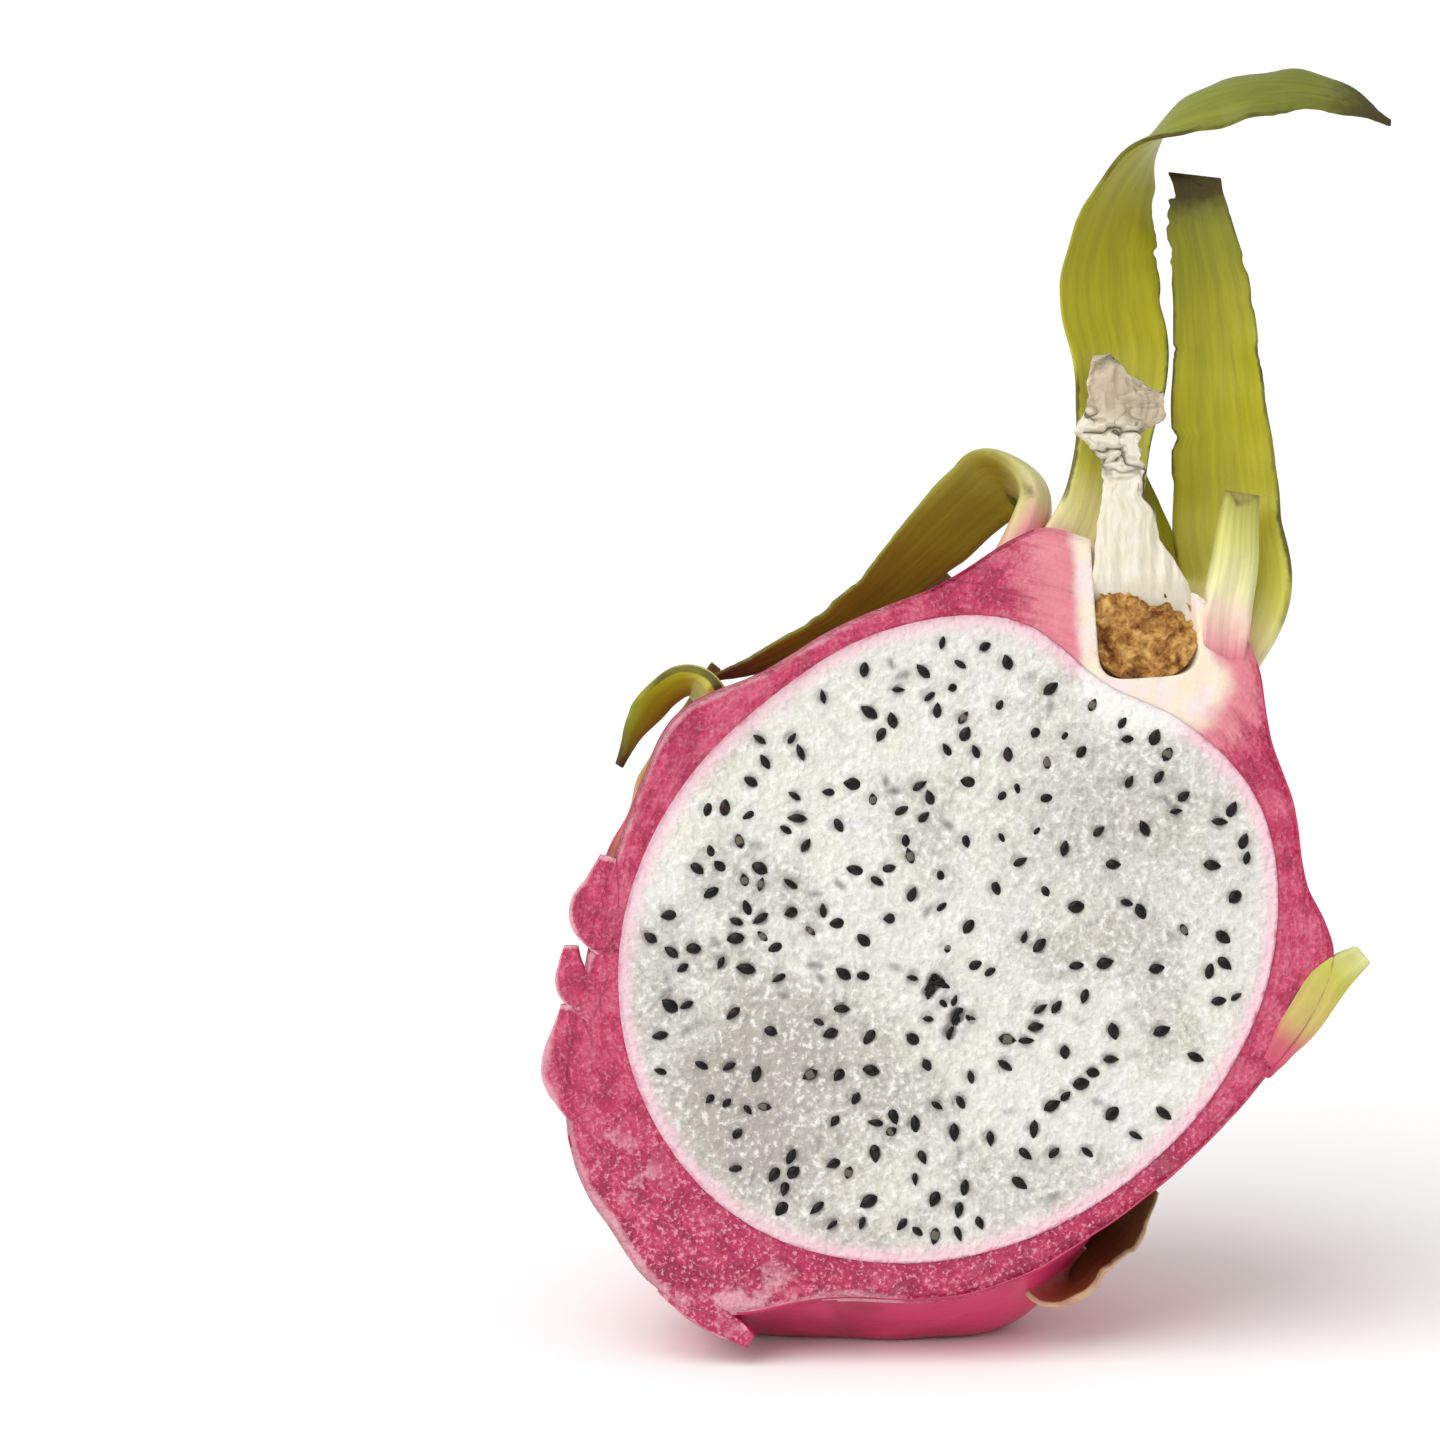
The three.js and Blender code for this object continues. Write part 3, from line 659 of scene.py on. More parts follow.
@dataclass(frozen=True)
class WhiteFlesh:
    """The wet, translucent white flesh with its grains, its glassy places and a pink border."""

    # white of the painted highlights at the glints, and of the milky flesh by the pit
    glint_and_milk_white: Colour = (0.92, 0.92, 0.88)
    white: Colour = (0.77, 0.765, 0.72)
    glassy: Colour = (0.40, 0.385, 0.34)
    grey: Colour = (0.36, 0.315, 0.26)
    lilac: Colour = (0.77, 0.73, 0.77)
    yellowish: Colour = (0.77, 0.76, 0.62)
    veil: Colour = (0.10, 0.085, 0.09)
    blush: Colour = (0.88, 0.58, 0.64)
    border: Colour = (0.76, 0.16, 0.30)
    cell: float = 0.8

    def build(self, granules: Effect) -> bpy.types.Material:
        """Builds the material."""
        material, nodes, shader = new_finish("white flesh")
        where = nodes.place()
        cells = granules.place_in(nodes, vector=where, size=self.cell * MM)
        strand = nodes.noise(nodes.stored("strand", vector=True), 1.0, 3.0, 0.6)
        tint = nodes.step(nodes.noise(where, 85.0, 3.0), 0.38, 0.62)
        ground = nodes.mix(nodes.times(tint, 0.5), self.white, self.yellowish)
        blue = nodes.step(nodes.noise(where, 120.0, 3.0, 0.6), 0.54, 0.66)
        ground = nodes.mix(nodes.times(blue, 0.5), ground, self.lilac)
        glassy = nodes.stored("glassy")
        ground = nodes.mix(nodes.times(glassy, 0.62), ground, self.grey)
        clear = nodes.times(nodes.step(cells["Grain"], 0.42, 0.55, 1.0, 0.0), 0.75)
        streaks = nodes.times(nodes.step(strand, 0.38, 0.5, 1.0, 0.0), 0.4)
        clear = nodes.plus(clear, streaks)
        zone = nodes.plus(nodes.times(glassy, 0.85), 0.22)
        colour = nodes.mix(nodes.times(clear, zone), ground, self.glassy)
        # painted highlight: near-white specks where the juice cells glint
        colour = nodes.mix(nodes.times(cells["Glint"], 0.7), colour, self.glint_and_milk_white)
        colour = nodes.mix(nodes.times(nodes.stored("veil"), 0.8), colour, self.veil)
        ragged = nodes.plus(nodes.stored("margin"), nodes.times(strand, 0.5))
        colour = nodes.mix(nodes.step(ragged, 0.3, 1.1, 0.0, 0.9), colour, self.blush)
        colour = nodes.mix(nodes.step(ragged, 1.12, 1.4), colour, self.border)
        milky = nodes.plus(nodes.stored("pale"), nodes.times(strand, 0.3))
        colour = nodes.mix(nodes.step(milky, 0.55, 1.0, 0.0, 0.8), colour, self.glint_and_milk_white)
        height = nodes.plus(cells["Height"], nodes.times(strand, 0.6))
        inputs = {
            "Base Color": colour,
            "Roughness": nodes.step(cells["Glint"], 0.0, 1.0, 0.4, 0.18),
            "Normal": nodes.bump(height, 0.8, 0.5),
            "Coat Weight": 0.3,
            "Coat Roughness": 0.12,
        }
        nodes.fill(shader, inputs | glow(0.15, (1.0, 1.0, 0.95), 0.8))
        return material


@dataclass(frozen=True)
class SeedCoat:
    """The glossy black coat of a seed, with the pale kernel where the knife went through it."""

    black: Colour = (0.004, 0.0035, 0.0035)
    brown: Colour = (0.03, 0.017, 0.012)
    kernel: Colour = (0.13, 0.115, 0.085)

    def build(self) -> bpy.types.Material:
        """Builds the material."""
        material, nodes, shader = new_finish("seed coat")
        tone = nodes.noise(nodes.place(), 900.0, 2.0)
        colour = nodes.mix(nodes.step(tone, 0.5, 0.75), self.black, self.brown)
        colour = nodes.mix(nodes.step(nodes.stored("kernel"), 0.45, 0.75), colour, self.kernel)
        nodes.fill(shader, {"Base Color": colour, "Roughness": 0.34, "Specular IOR Level": 0.22})
        return material


@dataclass(frozen=True)
class LeafFinish:
    """A bract or a scale: its colours run from the root to the tip, and its margin is dry and brown."""

    name: str
    stops: tuple[tuple[float, Colour], ...]  # colours of the outer side from the root to the tip
    inner: tuple[tuple[float, Colour], ...]  # and of the inner side
    brown: Colour = (0.10, 0.055, 0.015)
    edge: float = 0.92  # share of the half width where the brown margin starts
    tip: float = 0.9  # share of the length where the dry tip starts

    def build(self, margin: Effect, pores: Effect) -> bpy.types.Material:
        """Builds the material."""
        material, nodes, shader = new_finish(self.name)
        where = nodes.place()
        along, across, side = nodes.stored("along"), nodes.stored("across"), nodes.stored("side")
        fibre = nodes.noise(nodes.stored("fibre", vector=True), 1.0, 3.0, 0.6)
        cloud = nodes.noise(where, 110.0, 3.0)
        drift = nodes.times(nodes.math("SUBTRACT", cloud, 0.5), 0.16)
        place = nodes.plus(along, drift)
        outer = nodes.colours(place, self.stops)
        inner = nodes.colours(place, self.inner)
        colour = nodes.mix(nodes.step(side, -0.15, 0.15), inner, outer)
        shade = nodes.step(fibre, 0.3, 0.7, 0.78, 1.12)
        tone = nodes.add("CombineColor", {0: shade, 1: shade, 2: shade}).outputs[0]
        colour = nodes.mix(0.7, colour, tone, "MULTIPLY")
        inputs = {"vector": where, "along": along, "across": across, "edge": self.edge, "tip": self.tip}
        dry = margin.place_in(nodes, **inputs)["Mask"]
        colour = nodes.mix(nodes.times(dry, 0.85), colour, self.brown)
        wax = pores.place_in(nodes, vector=where)
        height = nodes.plus(nodes.times(wax["Height"], 0.6), fibre)
        inputs = {
            "Base Color": colour,
            "Roughness": nodes.step(dry, 0.0, 1.0, 0.42, 0.8),
            "Normal": nodes.bump(height, 0.35, 0.3),
            "Specular IOR Level": 0.3,
        }
        nodes.fill(shader, inputs | glow(0.1, (0.6, 0.8, 0.2), 0.8))
        return material


@dataclass(frozen=True)
class DryTissue:
    """Dry plant tissue in three tones, with a rough, crumbly or fibrous relief."""

    name: str
    dark: Colour
    mid: Colour
    light: Colour
    size: float  # size of its crumbs or folds
    relief: float  # depth of its relief
    roughness: float = 0.85

    def build(self) -> bpy.types.Material:
        """Builds the material."""
        material, nodes, shader = new_finish(self.name)
        where = nodes.place()
        coarse = nodes.noise(where, 1.0 / (self.size * MM), 5.0, 0.65, 0.6)
        fine = nodes.noise(where, 4.0 / (self.size * MM), 3.0, 0.6)
        tone = nodes.plus(nodes.times(coarse, 0.75), nodes.times(fine, 0.25))
        stops = ((0.34, self.dark), (0.47, self.mid), (0.62, self.light))
        inputs = {
            "Base Color": nodes.colours(tone, stops),
            "Roughness": self.roughness,
            "Normal": nodes.bump(tone, 0.8, self.relief),
        }
        nodes.fill(shader, inputs)
        return material


@dataclass(frozen=True)
class DriedTube:
    """The dried flower tube: smooth and milky below, crinkled in the middle and beige on its torn flap."""

    milky: Colour = (0.76, 0.71, 0.60)
    beige: Colour = (0.50, 0.42, 0.30)
    straw: Colour = (0.72, 0.64, 0.44)
    dark: Colour = (0.10, 0.07, 0.04)

    def build(self) -> bpy.types.Material:
        """Builds the material."""
        material, nodes, shader = new_finish("dried tube")
        where = nodes.place()
        along, across = nodes.stored("along"), nodes.stored("across")
        fibre = nodes.noise(nodes.stored("fibre", vector=True), 1.0, 4.0, 0.6, 0.4)
        cloud = nodes.noise(where, 420.0, 4.0, 0.6)
        colour = nodes.mix(nodes.step(cloud, 0.35, 0.7, 0.0, 0.55), self.milky, self.straw)
        colour = nodes.mix(nodes.step(along, 0.74, 0.84), colour, self.beige)
        pale = nodes.times(nodes.step(cloud, 0.55, 0.66), nodes.step(along, 0.5, 0.6))
        colour = nodes.mix(nodes.times(pale, 0.7), colour, self.straw)
        streak = nodes.times(nodes.step(fibre, 0.36, 0.28), nodes.step(along, 0.12, 0.25))
        colour = nodes.mix(nodes.times(streak, 0.6), colour, self.dark)
        # painted shade: darker in the valleys of the crumpled folds
        colour = nodes.mix(nodes.times(nodes.stored("crease"), 0.8), colour, self.dark)
        at_edge = nodes.step(nodes.plus(across, nodes.times(fibre, 0.2)), 0.9, 1.02)
        spell = nodes.times(nodes.step(along, 0.38, 0.44), nodes.step(along, 0.56, 0.62, 1.0, 0.0))
        colour = nodes.mix(nodes.times(at_edge, spell), colour, self.dark)
        height = nodes.plus(fibre, nodes.times(cloud, 0.6))
        inputs = {"Base Color": colour, "Roughness": 0.62, "Normal": nodes.bump(height, 0.7, 0.4)}
        nodes.fill(shader, inputs | glow(0.15, (1.0, 0.8, 0.6), 0.8))
        return material


# ---- The rind ----


RIM_RADIUS = 44.0  # of the rind, about
RIM_STRETCH = 0.24  # of the fibres along the rim
LOW_REACH = (8.0, 34.0)  # how far below the middle of the face the rind starts to grow darker, with more dark grains and glints, and is so most
CORNER_TURN, CORNER_SPREAD = -126.0, 34.0  # where the rind is fibrous, at the lower left
CORNER_REACH = (41.0, 45.0)
SHOULDER_REACH = (10.0, 19.0)  # how far from the pit the rind is soft in colour


def cut_relief(places: np.ndarray) -> np.ndarray:
    """Returns the uneven height of the cut surface, the same for every piece that the knife went through."""
    return 0.14 * grain(places * (1.0, 1.0, 0.0), 1.8, 3, 3.0) - 0.25


def store_cut_values(obj: bpy.types.Object, cup: "RindCup", places: np.ndarray, margin: np.ndarray) -> None:
    """Stores what the finish of cut rind reads: where fibres run, and where it is pale, fibrous or low.

    Args:
        obj: The piece.
        cup: The rind that it belongs to.
        places: Its vertices in the frame of the face.
        margin: How near each is to the piece's outer margin, from 0 to 1.
    """
    turn = np.arctan2(places[:, 1], places[:, 0])
    radius = np.linalg.norm(places[:, :2], axis=1)
    flow = columns(turn * RIM_RADIUS * RIM_STRETCH, radius * 1.5, places[:, 2] * 1.2)
    set_vectors(obj, "flow", flow)
    set_values(obj, "margin", margin)
    set_values(obj, "low", ramp(-places[:, 1], *LOW_REACH))
    corner = hump(np.degrees(turn) - CORNER_TURN, CORNER_SPREAD, 4.0) * ramp(radius, *CORNER_REACH)
    set_values(obj, "fibrous", np.maximum(corner, 0.15))
    set_values(obj, "pale", cup.paleness(places))
    set_values(obj, "shoulder", 1.0 - ramp(cup.pit_distance(places), *SHOULDER_REACH))


@dataclass
class Swelling:
    """A place where the skin swells into the root of a scale."""

    way: np.ndarray
    towards: np.ndarray
    half: float
    height: float


@dataclass
class RindCup:
    """The cup of rind: its skin, its cut rim, the inside wall behind the flesh and the pit of the flower."""

    body: FruitBody
    swellings: list[Swelling] = field(default_factory=list)
    segments: int = 440
    rings: int = 192
    skin_share: float = 0.62  # share of the rings that the skin takes, then the rim
    rim_share: float = 0.23
    overlap: float = 0.1  # of the rind over the flesh, so that no gap shows
    edge_round: float = 0.35
    cavity_depth: float = 38.0
    pit_turn: float = 52.0
    pit_radius: float = 6.3
    pit_floor: float = 3.0  # above the flesh
    pit_lean: float = 4.0
    bowl_share: float = 0.3  # share of the pit cutter's rings that its rounded floor takes
    bowl_height: float = 3.4
    bore_length: float = 46.0

    def pit_axis(self) -> tuple[np.ndarray, np.ndarray]:
        """Returns the middle of the pit's floor and the way out of the pit."""
        radius = self.body.flesh_radius(np.array([self.pit_turn]))[0] + self.pit_floor
        lean = math.radians(self.pit_lean)
        return direction(self.pit_turn, 0.0) * radius, np.array((-math.sin(lean), math.cos(lean), 0.0))

    def paleness(self, places: np.ndarray) -> np.ndarray:
        """Returns how far the pit has bleached each place: widely below it and only thinly beside it."""
        floor, way = self.pit_axis()
        rise = (places - floor) @ way
        reach = 3.4 + 4.2 * ramp(-rise, -3.0, 1.5)
        return np.clip(1.0 - (self.pit_distance(places) - self.pit_radius) / reach, 0.0, 1.2)

    def pit_distance(self, places: np.ndarray) -> np.ndarray:
        """Returns how far each place is from the pit's axis, or from its floor where it lies below it."""
        floor, way = self.pit_axis()
        offset = places - floor
        rise = offset @ way
        aside = offset - np.outer(rise, way)
        below = np.minimum(rise - 2.0, 0.0)
        return np.sqrt((aside**2).sum(1) + below**2)

    def _skin(self, turn: np.ndarray, back: np.ndarray) -> tuple[np.ndarray, np.ndarray]:
        """Returns places on the skin and how much each belongs to a swelling."""
        ways = direction(turn, back)
        radius = self.body.rind_radius(turn, back)
        swell = np.zeros(len(turn))
        for spot in self.swellings:
            offset = (ways - spot.way) * 45.0
            ahead = offset @ spot.towards
            aside = offset @ np.cross(spot.towards, spot.way)
            rise = ramp(ahead, -2.2 * spot.half, 0.0)
            rise = rise * (1.0 - ramp(ahead, 0.1 * spot.half, 0.9 * spot.half))
            near = hump(aside, spot.half * (0.75 + 0.25 * ramp(-ahead, 0.0, spot.half)), 3.0)
            facing = (ways @ spot.way) > 0.3
            lump = rise * near * facing
            radius = radius + spot.height * lump
            swell = np.maximum(swell, lump)
        calm = 0.4 + 0.6 * ramp(back, 0.0, 6.0)
        uneven = grain(ways * 45.0, 16.0, 2) * 0.5 + grain(ways * 45.0, 5.0, 2, 7.0) * 0.14
        return ways * (radius + uneven * calm)[:, None], swell

    def build(self) -> bpy.types.Object:
        """Moulds the cup from a ball, then bores the pit into it."""
        cup, turn, share = new_ball("rind", self.segments, self.rings)
        rim_end = self.skin_share + self.rim_share
        back = 90.0 * (1.0 - np.clip(share / self.skin_share, 0.0, 1.0))
        places, swell = self._skin(turn, back)
        edge = self._skin(turn, np.zeros(len(turn)))[0]
        outer = np.linalg.norm(edge, axis=1)
        inner = self.body.flesh_radius(turn) - self.overlap
        across = 1.0 - np.clip((share - self.skin_share) / self.rim_share, 0.0, 1.0)
        on_rim = (share > self.skin_share + 1e-6) & (share <= rim_end + 1e-6)
        inside = share > rim_end + 1e-6
        flat = direction(turn, 0.0)
        rim = flat * (inner + (outer - inner) * across)[:, None]
        thick = np.maximum(outer - inner, 1.0)
        near_edge = hump((1.0 - across) * thick, 0.7)
        rim[:, 2] = cut_relief(rim) - self.edge_round * near_edge
        places[on_rim] = rim[on_rim]
        down = np.clip((share - rim_end) / (1.0 - rim_end), 0.0, 1.0) * 90.0
        wall = direction(turn, down) * inner[:, None]
        wall[:, 2] = -self.cavity_depth * np.sin(np.radians(down)) - 0.5
        places[inside] = wall[inside]
        self.body.cut.mould(cup, places)
        self._bore(cup)
        self._store(cup)
        return cup

    def _bore(self, cup: bpy.types.Object) -> None:
        """Cuts the pit of the flower out of the cup."""
        cutter, around, share = new_ball("pit cutter", 64, 48)
        bowl = np.clip(share / self.bowl_share, 0.0, 1.0)
        up = self.bowl_height + (share - self.bowl_share) * self.bore_length
        rise = np.where(share < self.bowl_share, self.bowl_height * bowl**2, up)
        wide = self.pit_radius * np.sqrt(1.0 - (1.0 - bowl) ** 2)
        wide = np.where(share > 0.99, 0.0, wide)
        angle = np.radians(around)
        wide = wide * (1.0 + 0.05 * np.sin(5 * angle + 1.0) + 0.03 * np.sin(9 * angle))
        self.body.cut.mould(cutter, round_axis(*self.pit_axis(), around, rise, wide))
        apply_modifier(cup, "BOOLEAN", operation="DIFFERENCE", object=cutter, solver="EXACT")
        bpy.data.objects.remove(cutter)

    def _store(self, cup: bpy.types.Object) -> None:
        """Stores on each vertex where it lies, for the finishes."""
        places = self.body.cut.local(vertices_of(cup))
        turn = np.degrees(np.arctan2(places[:, 1], places[:, 0]))
        radius = np.linalg.norm(places, axis=1)
        inner = self.body.flesh_radius(turn)
        outer = self.body.rind_radius(turn, np.zeros(len(turn)))
        edge = hump(np.maximum(outer - np.linalg.norm(places[:, :2], axis=1), 0.0), 1.3)
        store_cut_values(cup, self, places, edge * (0.3 + 0.7 * ramp(-places[:, 0], -8.0, 12.0)))
        set_values(cup, "across", np.clip((radius - inner) / (outer - inner), 0.0, 1.0))
        back = np.degrees(np.arcsin(np.clip(-places[:, 2] / np.maximum(radius, 1e-6), -1.0, 1.0)))
        swell = self._skin(turn, np.clip(back, 0.0, 90.0))[1]
        set_values(cup, "swell", swell)

    def dress(self, cup: bpy.types.Object, skin: bpy.types.Material, cut: bpy.types.Material) -> None:
        """Gives the skin and the cut rim their finishes."""
        places = self.body.cut.local(of_faces(cup, "center"))
        facing = of_faces(cup, "normal") @ self.body.cut.out
        on_rim = (places[:, 2] > -0.9) & (facing > 0.35)
        in_pit = self.pit_distance(places) < self.pit_radius * 1.12
        dress_cut_piece(cup, skin, cut, on_rim | in_pit)
        place_piece(cup, None, ["peel"])


# ---- The flesh and its seeds ----


HEART = (-0.2, -4.3)  # place on the face where the strands and the rows of seeds meet
KNOTS = ((0.0, -4.1), (2.5, -7.7))  # dark knots of small seeds near it


@dataclass(frozen=True)
class Seed:
    """One seed on the cut face."""

    u: float
    v: float
    angle: float
    length: float
    depth: float


@dataclass
class FleshCore:
    """The white flesh, with a well round each seed and a grey veil over those just under its face."""

    body: FruitBody
    cup: RindCup
    segments: int = 400
    rings: int = 150
    back_share: float = 0.2
    depth: float = 38.6

    def build(self, seeds: Sequence[Seed], veiled: Sequence[Seed]) -> bpy.types.Object:
        """Moulds the flesh from a ball.

        Args:
            seeds: Seeds that show on the face.
            veiled: Seeds that lie just under it.

        Returns:
            The finished mesh.
        """
        core, turn, share = new_ball("flesh", self.segments, self.rings)
        rim = self.body.flesh_radius(turn)
        front = share >= self.back_share
        inwards = np.clip((1.0 - share) / (1.0 - self.back_share), 0.0, 1.0)
        places = direction(turn, 0.0) * (rim * inwards)[:, None]
        back = 90.0 * (1.0 - np.clip(share / self.back_share, 0.0, 1.0))
        behind = direction(turn, back) * rim[:, None]
        behind[:, 2] = -self.depth * np.sin(np.radians(back))
        places[~front] = behind[~front]
        face = places[front]
        relief = 0.13 * grain(face, 2.2, 3) + 0.2 * grain(face, 14.0, 2, 5.0)
        calm = 1.0 - inwards[front] ** 20
        for seed in seeds:
            near = np.hypot(face[:, 0] - seed.u, face[:, 1] - seed.v)
            relief += 0.14 * hump(near - 1.3, 0.45) - 0.3 * hump(near, 0.9)
        places[front, 2] = np.clip(relief * calm - 0.3, -2.0, 0.35)
        self.body.cut.mould(core, places)
        veil = np.zeros(len(places))
        flat = places[:, :2]
        for seed in veiled:
            offset = flat - (seed.u, seed.v)
            angle = math.radians(seed.angle)
            ahead = offset @ (math.cos(angle), math.sin(angle))
            aside = offset @ (-math.sin(angle), math.cos(angle))
            spot = hump(np.hypot(ahead / (seed.length * 0.5), aside / (seed.length * 0.24)), 1.0, 3.0)
            veil = np.maximum(veil, spot * seed.depth)
        for seed in seeds:
            near = np.hypot(flat[:, 0] - seed.u, flat[:, 1] - seed.v)
            veil = np.maximum(veil, 0.22 * hump(near, 1.25, 3.0))
        blotch = ramp(grain(places, 1.2, 2, 9.0), -0.2, 0.4)
        for u, v in KNOTS:
            veil = np.maximum(veil, 0.6 * hump(np.hypot(flat[:, 0] - u, flat[:, 1] - v), 2.2) * blotch)
        set_values(core, "veil", veil * front)
        set_values(core, "margin", hump(rim * (1.0 - inwards), 1.7, 1.5) * front + (1.0 - front))
        set_values(core, "pale", self.cup.paleness(places))
        lower_left = 1.25 * hump(np.hypot(flat[:, 0] + 22.0, flat[:, 1] + 20.0), 14.0)
        upper_right = hump(np.hypot(flat[:, 0] - 22.0, flat[:, 1] - 16.0), 13.0)
        patches = 0.45 * ramp(grain(places, 9.0, 3, 6.0), 0.0, 0.5)
        set_values(core, "glassy", np.clip(lower_left + 0.7 * upper_right + patches, 0.0, 1.2))
        self._store_strands(core, places)
        return core

    def _store_strands(self, core: bpy.types.Object, places: np.ndarray) -> None:
        """Stores a vector that changes fast round the heart and slowly away from it."""
        offset = places[:, :2] - HEART
        turn = np.arctan2(offset[:, 1], offset[:, 0])
        reach = np.hypot(offset[:, 0], offset[:, 1])
        bend = turn + 0.15 * np.sin(reach / 6.0)
        fan = 4.0 + 0.5 * reach
        strand = columns(np.cos(bend) * fan, np.sin(bend) * fan, reach * 0.35)
        set_vectors(core, "strand", strand)


@dataclass
class SeedField:
    """The seeds on the cut face, scattered at random, with dark knots of small ones near its heart."""

    body: FruitBody
    count: int = 212
    knot: int = 13  # crowded seeds at each knot
    veiled: int = 60
    length: float = 2.25
    border: float = 3.0  # clear flesh inside the rind
    twins: float = 0.10  # share of seeds that lie close beside another
    sliced: float = 0.08  # share of seeds that the knife opened
    seed: int = 12

    def scatter(self) -> tuple[list[Seed], list[Seed]]:
        """Chooses the places of the seeds.

        Returns:
            The seeds that show, and those that lie just under the surface.
        """
        rng = np.random.default_rng(self.seed)
        shown: list[Seed] = []
        for u, v in KNOTS:
            for _ in range(self.knot):
                away, turn = abs(rng.normal(0.0, 1.6)), rng.uniform(0.0, 2.0 * math.pi)
                place = u + away * math.cos(turn), v + away * math.sin(turn)
                size = self.length * rng.uniform(0.4, 0.7)
                angle = math.degrees(turn) + rng.normal(0.0, 25.0)
                shown.append(Seed(*place, angle, size, rng.uniform(0.2, 0.8)))
        shown += self._fill(rng, shown, self.count, 2.0, 5.6)
        hidden = self._fill(rng, shown, self.veiled, 1.5, 2.6)
        return shown, hidden

    def _fill(
        self, rng: np.random.Generator, taken: list[Seed], count: int, near: float, far: float
    ) -> list[Seed]:
        """Chooses places that keep off each other and off the seeds that are already there.

        Args:
            rng: The random numbers.
            taken: Seeds already placed.
            count: How many to place.
            near: Smallest distance between two seeds.
            far: Distance that most seeds keep.

        Returns:
            The new seeds.
        """
        found: list[Seed] = []
        tries = 0
        while len(found) < count and tries < 60000:
            tries += 1
            turn = rng.uniform(0.0, 360.0)
            limit = float(self.body.flesh_radius(np.array([turn]))[0]) - self.border
            reach = limit * math.sqrt(rng.uniform(0.0, 1.0))
            u, v = reach * math.cos(math.radians(turn)), reach * math.sin(math.radians(turn))
            keep = near + (far - near) * rng.beta(1.2, 1.8)
            if found and rng.uniform() < self.twins:
                beside, swing = found[rng.integers(len(found))], rng.uniform(0.0, 6.28)
                u, v = beside.u + near * math.cos(swing), beside.v + near * math.sin(swing)
                keep = near * 0.95
            if any(math.hypot(u - s.u, v - s.v) < keep for s in (*taken, *found)):
                continue
            outwards = math.degrees(math.atan2(v - HEART[1], u - HEART[0]))
            angle = outwards + rng.normal(0.0, 38.0)
            size = self.length * rng.uniform(0.74, 1.14)
            found.append(Seed(u, v, angle, size, rng.uniform(0.15, 1.0)))
        return found

    def build(self, seeds: Sequence[Seed]) -> bpy.types.Object:
        """Makes one teardrop and copies it to every place."""
        drop, around, share = new_ball("seeds", 8, 6)
        angle = np.radians(around)
        girth = np.sin(np.pi * share) ** 0.7 * (1.0 - 0.36 * share**1.5)
        model = columns(share - 0.45, girth * np.cos(angle) * 0.30, girth * np.sin(angle) * 0.22)
        corners = [tuple(face.vertices) for face in drop.data.polygons]
        points, faces, kernels = [], [], []
        rng = np.random.default_rng(self.seed + 1)
        for k, seed in enumerate(seeds):
            turn, tip = math.radians(seed.angle), rng.normal(0.0, 0.2)
            level = math.cos(tip)
            ahead = np.array((math.cos(turn) * level, math.sin(turn) * level, math.sin(tip)))
            aside = np.array((-math.sin(turn), math.cos(turn), 0.0))
            above = np.cross(ahead, aside)
            plump = rng.uniform(0.72, 1.22)
            middle = np.array((seed.u, seed.v, -0.22 - 0.32 * seed.depth**2))
            axes = np.stack((ahead, aside * plump, above))
            places = middle + (model * seed.length) @ axes
            opened = rng.uniform() < self.sliced and seed.length > 0.72 * self.length
            top = middle[2] + 0.08 * seed.length
            kernel = (places[:, 2] > top) & (girth > 0.72) if opened else np.zeros(len(places))
            if opened:
                places[:, 2] = np.minimum(places[:, 2], top)
            kernels.append(kernel)
            points.append(places)
            faces += [tuple(c + k * len(model) for c in corner) for corner in corners]
        mesh = bpy.data.meshes.new("seeds")
        mesh.from_pydata(self.body.cut.world(np.concatenate(points)).tolist(), [], faces)
        drop.data = mesh
        set_values(drop, "kernel", np.concatenate(kernels))
        finish_mesh(drop)
        return drop


# ---- Bracts and scales ----


